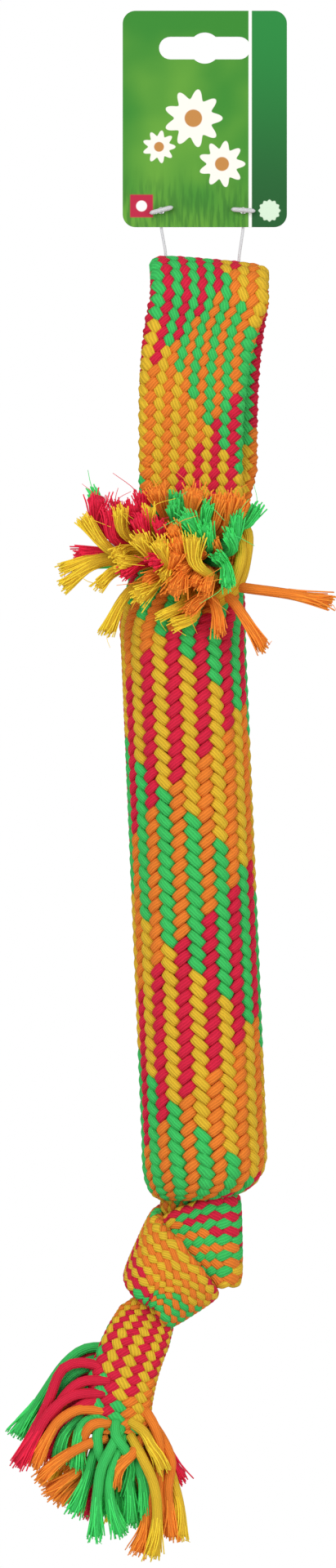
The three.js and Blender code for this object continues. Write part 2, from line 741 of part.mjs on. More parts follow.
// The strap turns over an edge of the knot, from one layer to another, while it climbs along its own width
function knotTurn({ dx, dz, from, to, turn, reach, climb, halfWidth, squareness, sweep }) {
  const across = THREE.MathUtils.degToRad(turn);
  const out = across + sweep * (Math.PI / 2);
  return [-90, -65, -38, -13, 13, 38, 65, 90].map((degrees) => {
    const phase = THREE.MathUtils.degToRad(degrees);
    const bulge = (value) => Math.sign(value) * Math.abs(value) ** squareness;
    const layer = mix(from, to, (1 + bulge(Math.sin(phase))) / 2);
    const distance = reach * bulge(Math.cos(phase));
    const slide = (climb * degrees) / 180;
    return knotStation(
      dx + distance * Math.cos(out) + slide * Math.cos(across),
      dz + distance * Math.sin(out) + slide * Math.sin(across),
      layer,
      turn,
      halfWidth,
    );
  });
}

// Overhand knot: down the core, up over the front, round the left edge, across the back, round the right
// edge, in under the front and down the core again to the tail
function knotStations() {
  return [
    knotStation(GATHER_X - KNOT_X, -KNOT_NECK_LENGTH, -0.5, 0, GATHER_WIDTH / 2),
    knotStation(3.4, -12, -0.5, 0, 6),
    knotStation(3, -20, -0.5, 12, 7.2),
    ...knotTurn({
      dx: 3.8,
      dz: -29,
      from: -0.5,
      to: 1.5,
      turn: 36,
      reach: KNOT_PITCH,
      climb: 0,
      halfWidth: 8.5,
      squareness: 0.9,
      sweep: -1,
    }),
    knotStation(0, -25.6, 1.5, 50, 11),
    ...knotTurn({
      dx: -2,
      dz: -17.6,
      from: 1.5,
      to: -1.5,
      turn: 67,
      reach: 1.3 * KNOT_PITCH,
      climb: 10.4,
      halfWidth: 12,
      squareness: 0.65,
      sweep: 1,
    }),
    knotStation(7, -14.4, -1.5, 80, 12),
    ...knotTurn({
      dx: 14.3,
      dz: -13.6,
      from: -1.5,
      to: 0.5,
      turn: 90,
      reach: KNOT_PITCH,
      climb: 0,
      halfWidth: 13,
      squareness: 0.9,
      sweep: -1,
    }),
    knotStation(8.5, -14.8, 0.5, 102, 9.5),
    knotStation(3.2, -17.8, 0.5, 125, 7),
    knotStation(-0.8, -22.8, 0.5, 146, 6.2),
    knotStation(-4, -28.6, 0.5, 152, 6),
    knotStation(-7.2, -34.5, 0.5, 155, 6.5),
    tailJoint(),
  ];
}

function tailJoint() {
  return knotStation(-9.3, -40.2, 0.5, 162, 0.45 * TAIL_WIDTH);
}

function addKnot() {
  const neck = [TOUCH_GAP, KNOT_NECK_LENGTH / 2, KNOT_NECK_LENGTH - TOUCH_GAP].map((drop) =>
    ovalRing(
      new THREE.Vector3(GATHER_X, CORE_Y, GATHER_Z - drop),
      AXIS_X,
      AXIS_Y,
      GATHER_WIDTH / 2,
      KNOT_STRAP_THICKNESS / 2,
      STRAP_SIDES,
      FLAT_BRAID,
    ),
  );
  addPiece('knot_neck', loft(neck), FINISH.braid);
  const ends = { start: DOWN, finish: heading(TAIL_ANGLE) };
  const rings = sweepStrap(knotStations(), KNOT_RINGS, STRAP_SIDES, FLAT_BRAID, ends);
  addPiece('knot', loft(rings), FINISH.braid);
}

function heading(angle) {
  return new THREE.Vector3(Math.cos(angle), 0, Math.sin(angle));
}

function squareTo(angle) {
  return new THREE.Vector3(Math.sin(angle), 0, -Math.cos(angle));
}

function angledStation(at, angle, halfWidth, halfDepth) {
  return { at, across: squareTo(angle), halfWidth, halfDepth };
}

function stepAlong(at, angle, distance) {
  return at.clone().addScaledVector(heading(angle), distance);
}

// The tail's braid below the knot, turning to the left and opening into its frayed end
function addTail() {
  const joint = tailJoint().at;
  const rootStart = stepAlong(joint, TAIL_ANGLE, TOUCH_GAP);
  const rootEnd = stepAlong(joint, TAIL_ANGLE, TAIL_FLEX_LENGTH - TOUCH_GAP);
  const braidStart = stepAlong(joint, TAIL_ANGLE, TAIL_FLEX_LENGTH);
  const braidMiddle = stepAlong(braidStart, mix(TAIL_ANGLE, TAIL_END_ANGLE, 0.25), TAIL_BRAID_LENGTH / 2);
  const braidEnd = stepAlong(braidMiddle, mix(TAIL_ANGLE, TAIL_END_ANGLE, 0.75), TAIL_BRAID_LENGTH / 2);
  const middleAngle = mix(TAIL_ANGLE, TAIL_END_ANGLE, 0.5);
  const half = TAIL_WIDTH / 2;
  const depth = TAIL_THICKNESS / 2;
  const root = [
    angledStation(rootStart, TAIL_ANGLE, 0.9 * half, KNOT_STRAP_THICKNESS / 2),
    angledStation(rootEnd, TAIL_ANGLE, half, depth),
  ];
  const braid = [
    angledStation(braidStart, TAIL_ANGLE, half, depth),
    angledStation(braidMiddle, middleAngle, mix(half, TAIL_END_WIDTH / 2, 0.3), depth),
    angledStation(braidEnd, TAIL_END_ANGLE, TAIL_END_WIDTH / 2, TAIL_END_THICKNESS / 2),
  ];
  const start = heading(TAIL_ANGLE);
  const finish = heading(TAIL_END_ANGLE);
  const rootRings = sweepStrap(root, TAIL_ROOT_RINGS, STRAP_SIDES, FLAT_BRAID, { start, finish: start });
  const braidRings = sweepStrap(braid, TAIL_BRAID_RINGS, STRAP_SIDES, FLAT_BRAID, { start, finish });
  addPiece('tail_root', loft(rootRings), FINISH.braid);
  addPiece('tail_braid', loft(braidRings), FINISH.braid);
  addTailYarns(braidEnd);
}

// Columns of the tail's fringe from its left to its right: how far each reaches, and the colours of its rows
const TAIL_COLUMNS = [
  { reach: 2.5, colours: ['green', 'red', 'green'] },
  { reach: 2.5, colours: ['red', 'red', 'orange'] },
  { reach: 2.6, colours: ['orange', 'green', 'orange'] },
  { reach: 2.65, colours: ['orange', 'green', 'green'] },
  { reach: 2.7, colours: ['green', 'green', 'orange'] },
  { reach: 2.6, colours: ['orange', 'yellow', 'green'] },
  { reach: 2.4, colours: ['yellow', 'orange', 'red'] },
];

function addTailYarns(endCentre) {
  const ahead = heading(TAIL_END_ANGLE);
  const across = squareTo(TAIL_END_ANGLE);
  const middle = (TAIL_COLUMNS.length - 1) / 2;
  const focus = endCentre.clone().addScaledVector(ahead, -TAIL_FAN_DEPTH);
  let number = 0;
  TAIL_COLUMNS.forEach(({ reach, colours }, column) => {
    colours.forEach((colour, row) => {
      const ray = ahead
        .clone()
        .multiplyScalar(TAIL_FAN_DEPTH)
        .addScaledVector(across, (middle - column) * TAIL_COLUMN_PITCH)
        .addScaledVector(AXIS_Y, (row - 1) * TAIL_ROW_PITCH);
      const lean = ahead.angleTo(ray);
      const rootShare = 1 + (TOUCH_GAP + (YARN_DIAMETER / 2) * Math.sin(lean)) / TAIL_FAN_DEPTH;
      const pointAt = (share) => {
        const distance = mix(rootShare, reach, share);
        const droop = TAIL_DROOP * (distance - rootShare) ** 2;
        return focus.clone().addScaledVector(ray, distance).add(new THREE.Vector3(0, 0, -droop));
      };
      number += 1;
      addYarn('tail', number, colour, pointAt);
    });
  });
}

addHangCard();
addTagPins();
addHandle();
addStrapRoots();
addSleeve();
addLoopEnd();
addTuft();
addBottle();
addKnot();
addTail();

export default toy;
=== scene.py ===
import math

import bmesh
import bpy
import numpy as np
from bpy.props import FloatProperty, FloatVectorProperty, PointerProperty
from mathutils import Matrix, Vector


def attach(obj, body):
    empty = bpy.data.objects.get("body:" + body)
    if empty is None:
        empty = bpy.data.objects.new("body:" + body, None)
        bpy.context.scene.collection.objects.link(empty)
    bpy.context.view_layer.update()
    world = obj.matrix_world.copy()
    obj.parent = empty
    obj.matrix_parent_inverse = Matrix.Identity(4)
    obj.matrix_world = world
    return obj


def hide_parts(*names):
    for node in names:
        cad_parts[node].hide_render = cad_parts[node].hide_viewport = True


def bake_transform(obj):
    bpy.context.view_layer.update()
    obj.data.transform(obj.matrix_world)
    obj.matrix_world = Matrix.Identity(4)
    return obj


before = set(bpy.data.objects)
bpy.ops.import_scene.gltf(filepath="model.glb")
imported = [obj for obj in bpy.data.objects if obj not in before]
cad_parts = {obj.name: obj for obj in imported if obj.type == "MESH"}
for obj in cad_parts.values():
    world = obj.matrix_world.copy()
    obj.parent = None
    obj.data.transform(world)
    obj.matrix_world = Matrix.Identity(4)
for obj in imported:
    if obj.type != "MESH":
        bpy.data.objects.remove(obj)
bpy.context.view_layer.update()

bl_info = {
    "name": "Crackle stick dog toy",
    "version": (1, 0, 0),
    "blender": (4, 5, 0),
    "location": "View3D > Sidebar > Crackle stick",
    "description": "Braids the rope of a crackle stick dog toy, frays its ends and hangs it on its card",
    "category": "Object",
}

MM = 0.001

# The rope's route, in millimetres, as the solids have it
FOLD_RADIUS = 10.0
FOLD_RISE = 11.4
FOLD_CENTRE_Z = -94.5
FOLD_CENTRE_X = 1.6
FOLD_TILT = math.radians(5)
FOLD_WIDTH = 42.0
ROOT_WIDTH = 36.4
REAR_WIDTH = 41.4
STRAP_THICKNESS = 8.0
ROOT_Y = 7.0
ROOT_FRONT_X = -4.9
ROOT_REAR_X = -2.0
ROOT_TOP_Z = -150.8
ROOT_FOOT_Z = -164.8
SLIT_X = -5.2
SLIT_Z = -184.0
SLIT_HALF_WIDTH = 12.5
SLIT_HALF_HEIGHT = 5.2
SLIT_CLEARANCE = 0.6
SLIT_REACH = 2.2
SWING_RADIUS = 9.0
LOOP_HEAD_Y = -15.0
SHOULDER_X = -7.8
SHOULDER_Z = -207.8
SLEEVE_RADIUS = 22.0
SLEEVE_LEAN = math.radians(2.43)
DOME_Z = -389.0
DOME_HEIGHT = 18.0
DOME_POWER = 1.4
GATHER_X = -8.4
GATHER_Z = -409.0
GATHER_HALF_WIDTH = 7.2
GATHER_HALF_DEPTH = 5.5
KNOT_X = -11.0
KNOT_PITCH = 7.0
KNOT_HALF_DEPTH = 3.0
KNOT_NECK_LENGTH = 5.0
CORE_Y = 3.5
TAIL_ANGLE = math.radians(247)
TAIL_END_ANGLE = math.radians(270)
TAIL_FLEX_LENGTH = 7.0
TAIL_BRAID_LENGTH = 35.0
TAIL_HALF_WIDTH = 11.2
TAIL_TOP_SHARE = 0.9
TAIL_END_HALF_WIDTH = 12.6
TAIL_END_SHIFT = 1.6
TAIL_HALF_DEPTH = 4.0
TAIL_END_HALF_DEPTH = 6.0

# How square a section of the rope is, from flat to round, and the least half depth of its middle surface
FLAT = 0.55
LOOP_SHAPE = 0.85
ROUND = 1.0
LEAST_HALF_DEPTH = 0.4

# Walls of the braid: half of the thickness of its two layers of yarn
TUBE_WALL = 2.5
STRAP_WALL = 2.0
KNOT_WALL = 1.45
TAIL_WALL = 1.8
STRAP_SECTION = (STRAP_THICKNESS / 2, FLAT, STRAP_WALL)

# The braid: carriers each way, samples of its surface and samples of a yarn
CARRIERS = 24
ONE_YARN = 1 / CARRIERS
RING_POINTS = 96
OUTLINE_POINTS = 721
KNOT_SAMPLES = 260
TAIL_RINGS = 40
SAMPLES_PER_CROSSING = 4

# A yarn's section, from 2 for round to more for square, and how much prouder the falling yarns lie
SQUARENESS = 3.6
FLOAT_BIAS = 0.03

# Half of a yarn's width as a share of the yarns' spacing, over the others and under them, and how much
# wider the falling yarns are
OVER_WIDTH = 0.74
UNDER_WIDTH = 0.42
FALLING_WIDTH = 1.02

# Half of a yarn's depth and its rise as shares of the wall, and the power that keeps a float level
YARN_DEPTH = 0.46
YARN_RISE = 0.52
FLOAT_POWER = 0.48

# Waves to a millimetre of a yarn's sideways stray
STRAY_BEATS = (0.03, 0.09)

# Colours change where the falling and the rising yarns have run so many turns round the rope. A lead is
# the length of one turn. On the strap: a height of its front, the turns there, the length that they hold
# for and their shift. On the sleeve: the height of no turns, and the lead. In the knot: millimetres past
# its top, and the turns of the two sets
STRAP_LEAD = 105.0
STRAP_TURNS = ((-130.0, -1.5, 40, ONE_YARN), (-146.2, -2.0, 60, -ONE_YARN))
REAR_LENGTH = 95
NECK_Z = -168
TUBE_TOP_Z = -212
SLEEVE_TURNS = ((-270.7, 110.1), (-314.5, 108.0))
GATHER_TURNS = (1.43, 0.95)
KNOT_TURNS = (
    (36, 1.9, 1.1),
    (62, 2.22, 1.38),
    (90, 2.48, 1.853),
    (125, 2.68, 1.953),
    (150, 2.925, 2.221),
)
TAIL_TURNS = (3.287, 2.713)
TAIL_LEAD = 98.0
TURN_SAMPLES = 2400
TURN_SMOOTHING = 24
OVERRUN = 40

# In the tail the yarns crowd to its two edges, which leaves wide ones on its faces
TAIL_CROWDING = 0.88
TAIL_CROWDING_START = 125

# On the front of the handle and the stick the yarns lie a little closer than behind. Shares of that, by
# millimetres up the handle's front from its root, and by heights of the stick
FRONT_CROWDING = 0.085
STRAP_CLOSENESS = ((76, 0), (64, 1.8), (46, 2.6), (24, 0.2), (0, 0))
STICK_CLOSENESS = ((NECK_Z, 0.3), (-205, 1), (DOME_Z, 1))

# A cotton yarn's plies round it, and the turns that they make in a millimetre
PLIES = 14
PLY_TWIST = 0.12

# Loose ends: how far a brush reaches back along its yarn, in millimetres and at most as a share of it, the
# power by which it opens, and its thick, as shares of that reach before the tip and of the brush's radius
BRUSH_LENGTH = 13.0
BRUSH_MOST = 0.62
BRUSH_OPENING = 1.5
BRUSH_BODY = np.array((1, 0.8, 0.6, 0.45, 0.3, 0.2, 0.12, 0.07, 0.04))
BODY_STEPS = 12
BODY_SHARE = 0.66
BODY_DOME = (1, 0.94, 0.7)
RIM_STEPS = 24

# The threads of a brush: their radii, and how far they vary in where they open, where they end in
# millimetres, their reach, their place round the yarn and their swirl
BRUSH_THREADS = 34
THREAD_STEPS = 6
THREAD_RADII = (0.33, 0.24)
THREAD_ROOT = 0.45
THREAD_OPENS = (1.0, 1.25)
THREAD_ENDS = (-2.2, 1.7)
THREAD_REACH = (0.75, 1.3)
THREAD_TURN = (-0.25, 0.25)
THREAD_SWIRL = (-0.5, 0.9)
GOLDEN_ANGLE = 2.39996
ASKEW = (0.31, 0.62, 0.72)

# Stray fibres: their radii, how many there are and how far they drift in x, y and z, in millimetres
STRAY_STEPS = 8
STRAY_RADII = (0.17, 0.1)
TUFT_STRAYS = 64
TUFT_DRIFT = np.array((10, 5, 8))
TAIL_STRAYS = 12
TAIL_DRIFT = np.array((5, 4, 4))

# Seeds of the random draws
YARN_SEED = 7
TUFT_SEED = 5
TUFT_STRAY_SEED = 21
TAIL_SEED = 9
TAIL_STRAY_SEED = 33

# Tubes: how round they are, their rough length in millimetres that a finish runs by, and how near points
# are that are one, in millimetres for a flat yarn and in metres for the others
FLAT_YARN_ROUNDNESS = 2
END_ROUNDNESS = 3
THREAD_ROUNDNESS = 0
PIN_ROUNDNESS = 4
END_RUN = 28
THREAD_RUN = 12
PIN_RUN = 10
FLAT_WELD = 1e-4
WELD = 1e-6

# The tag pins, in millimetres: the bar before the card, the filament behind it, the card's holes, where
# the filament leaves the card, how far above its lower bar it enters the strap, and the bars' sizes
PIN_STEPS = 60
BAR_STEPS = 17
PIN_BAR_Y = -2.2
PIN_BACK_Y = 1.1
PIN_MIDDLE_Y = 0.5
PIN_HOLE_Z = -62.3
PIN_DROP = 1.2
PIN_EDGE_Z = -68.1
PIN_ENTRY = 11.1
PIN_RADIUS = 0.5
BAR_HALF_LENGTH = 4.25
CARD_BAR_RADIUS = 0.85
STRAP_BAR_RADIUS = 0.6
STRAP_BAR_LEAN = 5

# Each pin: its x at the card and in the strap, the height of its lower bar and the lean of its upper bar
PINS = (
    ("tag_pin_left", -15.2, -13.75, -88.09, -15),
    ("tag_pin_right", 13.4, 11.95, -90.34, 4),
)

# The card's print: x and z on its face and sizes, in metres, and the colours that aren't settings
PRINT_EDGE = 0.0002
DAISIES = (((-0.004, -0.03), 0.0085), ((0.006, -0.046), 0.0068), ((-0.016, -0.04), 0.0048))
DAISY_PETALS = 9
DAISY_EYE = 0.36
GRASS_Z = (-0.045, -0.062)
BAND_X = (0.0162, 0.0165)
BAND_Z = (-0.068, 0.007)
STRIPE = ((0.01585, -0.03), (0.00055, 0.06))
BADGE = (-0.0221, -0.0607)
BADGE_HALF = (0.004, 0.004)
BADGE_EDGE = 0.0003
BADGE_DOT = 0.0019
SEAL = (0.0226, -0.0623)
SEAL_RADIUS = 0.0036
SEAL_SCALLOPS = 12
SEAL_DEPTH = 0.00025
PETAL_WHITE = (0.86, 0.83, 0.76, 1)
EYE_BROWN = (0.5, 0.22, 0.05, 1)
STRIPE_WHITE = (0.88, 0.9, 0.85, 1)
DOT_WHITE = (0.9, 0.86, 0.84, 1)
SEAL_GREEN = (0.62, 0.78, 0.6, 1)
BOARD_DARK = (0.78, 0.78, 0.75, 1)
BOARD_LIGHT = (0.86, 0.86, 0.83, 1)
WHITE = (1, 1, 1, 1)

# The stage, in metres: the middle of the picture, the lamps, and the floor and the reach where it fades
PICTURE_MIDDLE = Vector((-12.86, 0, -262.9)) * MM
KEY_PLACE = (-0.7, -1.5, 0.5)
FILL_PLACE = (1.1, -1.3, -0.2)
LAMP_SIZE = 1.2
FLOOR_HALF = 0.4
FLOOR_Y = -0.05
FLOOR_FADE = (0.15, 0.38)

COLOUR_NAMES = ("red", "orange", "yellow", "green")
X_AXIS = np.array((1.0, 0.0, 0.0))
FRONT = np.array((0.0, -1.0, 0.0))

# What all colours that a user may change have in common
COLOUR = {"subtype": "COLOR", "size": 3, "min": 0, "max": 1}


class YarnColours(bpy.types.PropertyGroup):
    """Colours of the cotton yarns"""

    red: FloatVectorProperty(
        name="Red", description="Red yarn", default=(0.72, 0.016, 0.055), **COLOUR
    )
    orange: FloatVectorProperty(
        name="Orange", description="Orange yarn", default=(0.9, 0.23, 0.026), **COLOUR
    )
    yellow: FloatVectorProperty(
        name="Yellow", description="Yellow yarn", default=(0.8, 0.5, 0.03), **COLOUR
    )
    green: FloatVectorProperty(
        name="Green", description="Green yarn", default=(0.05, 0.58, 0.125), **COLOUR
    )


class BraidSizes(bpy.types.PropertyGroup):
    """Sizes of the yarns in the braid"""

    yarn_width: FloatProperty(
        name="Yarn width",
        description="Width of a yarn where it lies on top",
        default=0.0036,
        min=0.001,
        max=0.008,
        unit="LENGTH",
    )
    wobble: FloatProperty(
        name="Wobble",
        description="How far a yarn strays sideways",
        default=0.00016,
        min=0,
        max=0.001,
        precision=5,
        unit="LENGTH",
    )
    end_thickness: FloatProperty(
        name="End thickness",
        description="Diameter of a loose yarn",
        default=0.0037,
        min=0.001,
        max=0.008,
        unit="LENGTH",
    )


class CardPrint(bpy.types.PropertyGroup):
    """Colours of the printed card"""

    meadow: FloatVectorProperty(
        name="Meadow", description="Main green", default=(0.024, 0.21, 0.014), **COLOUR
    )
    light: FloatVectorProperty(
        name="Light", description="Hazy green", default=(0.12, 0.34, 0.028), **COLOUR
    )
    band: FloatVectorProperty(
        name="Band", description="Side band", default=(0.005, 0.12, 0.018), **COLOUR
    )
    badge: FloatVectorProperty(
        name="Badge", description="Small square", default=(0.46, 0.008, 0.045), **COLOUR
    )


class StageSettings(bpy.types.PropertyGroup):
    """Camera, floor and light"""

    distance: FloatProperty(
        name="Distance",
        description="From the camera to the toy",
        default=2.4,
        min=0.5,
        max=10,
        unit="LENGTH",
    )
    view_height: FloatProperty(
        name="View height", description="Height of the picture at the toy", default=0.5486, unit="LENGTH"
    )
    floor_z: FloatProperty(name="Floor", description="Height of the floor", default=-0.6, unit="LENGTH")
    key_power: FloatProperty(
        name="Key light", description="Power of the main lamp", default=17, min=0, unit="POWER"
    )
    fill_power: FloatProperty(
        name="Fill light", description="Power of the other lamp", default=9, min=0, unit="POWER"
    )
    sky: FloatProperty(
        name="Sky", description="Strength of the light all round", default=0.55, min=0, max=2
    )


def smoothstep(value, low, high):
    share = np.clip((value - low) / (high - low), 0, 1)
    return share * share * (3 - 2 * share)


def mix(low, high, share):
    return low + (high - low) * share


def unit(vectors):
    vectors = np.asarray(vectors, float)
    return vectors / np.linalg.norm(vectors, axis=-1, keepdims=True)


def run_of(steps):
    """How far along each point is, from the steps between them"""
    return np.concatenate(([0], np.cumsum(steps)))


def through(points, count):
    """A smooth curve through the points, with the same number of samples between each two of them"""
    points = np.asarray(points, float)
    last = len(points) - 1
    samples = []
    for place in np.linspace(0, last, count):
        i = min(int(place), last - 1)
        here, there = points[i], points[i + 1]
        before = points[i - 1] if i > 0 else 2 * points[0] - points[1]
        after = points[i + 2] if i + 2 <= last else 2 * points[last] - points[last - 1]
        steps = [np.linalg.norm(chord) ** 0.5 for chord in (here - before, there - here, after - there)]
        middle = steps[1] if steps[1] > 1e-4 else 1.0
        first = steps[0] if steps[0] > 1e-4 else middle
        final = steps[2] if steps[2] > 1e-4 else middle
        leave = (here - before) / first - (there - before) / (first + middle)
        leave = (leave + (there - here) / middle) * middle
        arrive = (there - here) / middle - (after - here) / (middle + final)
        arrive = (arrive + (after - there) / final) * middle
        t = place - i
        bend = -3 * here + 3 * there - 2 * leave - arrive
        turn = 2 * here - 2 * there + leave + arrive
        samples.append(here + leave * t + bend * t * t + turn * t**3)
    return np.array(samples)


class Route:
    """Stations of the rope, from its loop's frayed end to its tail, and marks where its lengths meet"""

    def __init__(self):
        self.stations = []
        self.marks = {}

    def add(self, at, across, half_width, half_depth, shape, wall, normal=None):
        self.stations.append((np.asarray(at, float), across, half_width, half_depth, shape, wall, normal))

    def mark(self, name):
        self.marks[name] = len(self.stations)


def tilted(tilt):
    return np.array((math.cos(tilt), 0, -math.sin(tilt)))


def heading(angle):
    return np.array((math.cos(angle), 0, math.sin(angle)))


def square_to(angle):
    return np.array((math.sin(angle), 0, -math.cos(angle)))


def add_loop_end(route):
    """From the tuft back through the slit and up behind the neck"""
    route.mark("loop_head")
    narrow = (SLIT_HALF_WIDTH - SLIT_CLEARANCE, SLIT_HALF_HEIGHT - SLIT_CLEARANCE)
    for y in np.linspace(LOOP_HEAD_Y, ROOT_Y - SWING_RADIUS, 14, endpoint=False):
        route.add((SLIT_X, y, SLIT_Z), X_AXIS, *narrow, LOOP_SHAPE, STRAP_WALL)
    for angle in np.radians(np.linspace(90, 0, 16)):
        share = float(smoothstep(math.degrees(angle), 0, 60))
        at = (
            mix(ROOT_REAR_X, SLIT_X, share),
            ROOT_Y - SWING_RADIUS * (1 - math.cos(angle)),
            SLIT_Z + SWING_RADIUS * (1 - math.sin(angle)),
        )
        width = mix(ROOT_WIDTH / 2, narrow[0], share)
        depth = mix(STRAP_THICKNESS / 2, narrow[1], share)
        route.add(at, X_AXIS, width, depth, mix(FLAT, LOOP_SHAPE, share), STRAP_WALL)
    for z in np.linspace(SLIT_Z + SWING_RADIUS, ROOT_FOOT_Z, 8)[1:-1]:
        route.add((ROOT_REAR_X, ROOT_Y, z), X_AXIS, ROOT_WIDTH / 2, *STRAP_SECTION)


def add_leg(route, side, shares):
    """One side of the handle, the rear one for side 1 and the front one for side -1"""
    root_x = ROOT_REAR_X if side > 0 else ROOT_FRONT_X
    root_width = REAR_WIDTH if side > 0 else ROOT_WIDTH
    for share in shares:
        spread = float(smoothstep(share, 0, 0.6))
        at = (
            mix(root_x, FOLD_CENTRE_X, share**3),
            side * mix(ROOT_Y, FOLD_RADIUS, spread),
            mix(ROOT_TOP_Z, FOLD_CENTRE_Z, share),
        )
        width = mix(root_width, FOLD_WIDTH, share**2) / 2
        route.add(at, tilted(FOLD_TILT * share), width, *STRAP_SECTION)


def add_handle(route):
    """Up the rear root and leg, over the fold and down the front"""
    route.mark("rear_root_foot")
    for share in np.linspace(0, 1, 12, endpoint=False):
        at = (ROOT_REAR_X, ROOT_Y, mix(ROOT_FOOT_Z, ROOT_TOP_Z, share))
        width = mix(ROOT_WIDTH, REAR_WIDTH, float(smoothstep(share, 0, 1))) / 2
        route.add(at, X_AXIS, width, *STRAP_SECTION)
    route.mark("rear_root_top")
    add_leg(route, 1, np.linspace(0, 1, 40, endpoint=False))
    for angle in np.linspace(0, math.pi, 28, endpoint=False):
        at = (FOLD_CENTRE_X, FOLD_RADIUS * math.cos(angle), FOLD_CENTRE_Z + FOLD_RISE * math.sin(angle))
        route.add(at, tilted(FOLD_TILT), FOLD_WIDTH / 2, *STRAP_SECTION)
    add_leg(route, -1, np.linspace(1, 0, 40, endpoint=False))
    route.mark("front_root_top")
    for z in np.linspace(ROOT_TOP_Z, ROOT_FOOT_Z, 12, endpoint=False):
        route.add((ROOT_FRONT_X, -ROOT_Y, z), X_AXIS, ROOT_WIDTH / 2, *STRAP_SECTION)


def axis_x(z):
    return SHOULDER_X + math.tan(SLEEVE_LEAN) * (SHOULDER_Z - z)


def add_sleeve(route):
    """The flat neck swells to the tube, which closes in a dome"""
    route.mark("neck_top")
    for share in np.linspace(0, 1, 36, endpoint=False):
        swell = float(smoothstep(share, 0.3, 1))
        x = mix(ROOT_FRONT_X, SHOULDER_X, share)
        at = (x, mix(-ROOT_Y, 0, swell), mix(ROOT_FOOT_Z, SHOULDER_Z, share))
        width = mix(ROOT_WIDTH / 2, SLEEVE_RADIUS, swell)
        depth = mix(STRAP_THICKNESS / 2, SLEEVE_RADIUS, swell)
        wall = mix(STRAP_WALL, TUBE_WALL, swell)
        route.add(at, X_AXIS, width, depth, mix(FLAT, ROUND, swell), wall, FRONT)
    for z in np.linspace(SHOULDER_Z, DOME_Z, 120, endpoint=False):
        route.add((axis_x(z), 0, z), X_AXIS, SLEEVE_RADIUS, SLEEVE_RADIUS, ROUND, TUBE_WALL, FRONT)
    for turn in np.linspace(0, math.pi / 2, 30, endpoint=False):
        drawn = (1 - math.cos(turn)) ** DOME_POWER
        x = mix(axis_x(DOME_Z), GATHER_X, drawn)
        at = (x, mix(0, CORE_Y, drawn), DOME_Z - DOME_HEIGHT * math.sin(turn))
        width = mix(SLEEVE_RADIUS, GATHER_HALF_WIDTH, drawn)
        depth = mix(SLEEVE_RADIUS, GATHER_HALF_DEPTH, drawn)
        route.add(at, X_AXIS, width, depth, ROUND, mix(TUBE_WALL, KNOT_WALL, drawn), FRONT)


def knot_station(dx, dz, layer, turn, half_width):
    """A place of the strap in the knot, in layers to the front, with the turn of its width in degrees"""
    at = (KNOT_X + dx, -layer * KNOT_PITCH, GATHER_Z + dz)
    return at, heading(math.radians(turn)), half_width


def knot_turn(dx, dz, layers, turn, reach, climb, half_width, squareness, sweep):
    """The strap turns over an edge of the knot, from one layer to another"""
    across = math.radians(turn)
    out = across + sweep * math.pi / 2
    stations = []
    for degrees in (-90, -65, -38, -13, 13, 38, 65, 90):
        phase = math.radians(degrees)
        rise = math.copysign(abs(math.sin(phase)) ** squareness, phase)
        distance = reach * abs(math.cos(phase)) ** squareness
        slide = climb * degrees / 180
        x = dx + distance * math.cos(out) + slide * math.cos(across)
        z = dz + distance * math.sin(out) + slide * math.sin(across)
        stations.append(knot_station(x, z, mix(layers[0], layers[1], (1 + rise) / 2), turn, half_width))
    return stations


def knot_stations():
    """Down the core, up over the front, round the left, across the back, round the right, in again"""
    return [
        knot_station(GATHER_X - KNOT_X, -KNOT_NECK_LENGTH, -0.5, 0, GATHER_HALF_WIDTH),
        knot_station(3.4, -12, -0.5, 0, 6),
        knot_station(3, -20, -0.5, 12, 7.2),
        *knot_turn(2.3, -30.6, (-0.5, 1.5), 33, KNOT_PITCH, 0, 11.2, 0.9, -1),
        knot_station(-2.2, -26.4, 1.5, 50, 12.2),
        *knot_turn(-2, -19, (1.5, -1.5), 66, 1.3 * KNOT_PITCH, 10.4, 13.6, 0.65, 1),
        knot_station(7, -14.4, -1.5, 80, 13),
        *knot_turn(14.3, -13.3, (-1.5, 0.5), 91, KNOT_PITCH, 0, 16.9, 0.9, -1),
        knot_station(8.5, -14.2, 0.5, 97, 14.5),
        knot_station(2.5, -15.6, 0.5, 103, 13),
        knot_station(-3.8, -19.4, 0.5, 122, 10),
        knot_station(-5.4, -27, 0.5, 147, 7),
        knot_station(-7.2, -34.5, 0.5, 155, 6.5),
        knot_station(-9.3, -40.2, 0.5, 162, TAIL_TOP_SHARE * TAIL_HALF_WIDTH),
    ]


def add_knot(route):
    """The gathered neck and the overhand knot"""
    route.mark("gather")
    for drop in np.linspace(0, KNOT_NECK_LENGTH, 6, endpoint=False):
        share = drop / KNOT_NECK_LENGTH
        depth = mix(GATHER_HALF_DEPTH, KNOT_HALF_DEPTH, share)
        at = (GATHER_X, CORE_Y, GATHER_Z - drop)
        route.add(at, X_AXIS, GATHER_HALF_WIDTH, depth, mix(ROUND, FLAT, share), KNOT_WALL, FRONT)
    route.mark("knot_top")
    places, sides, widths = zip(*knot_stations())
    places = through(places, KNOT_SAMPLES)
    sides = unit(through(sides, KNOT_SAMPLES))
    widths = through([(width, 0, 0) for width in widths], KNOT_SAMPLES)[:, 0]
    for at, across, width in list(zip(places, sides, widths))[:-1]:
        route.add(at, across, width, KNOT_HALF_DEPTH, FLAT, KNOT_WALL)


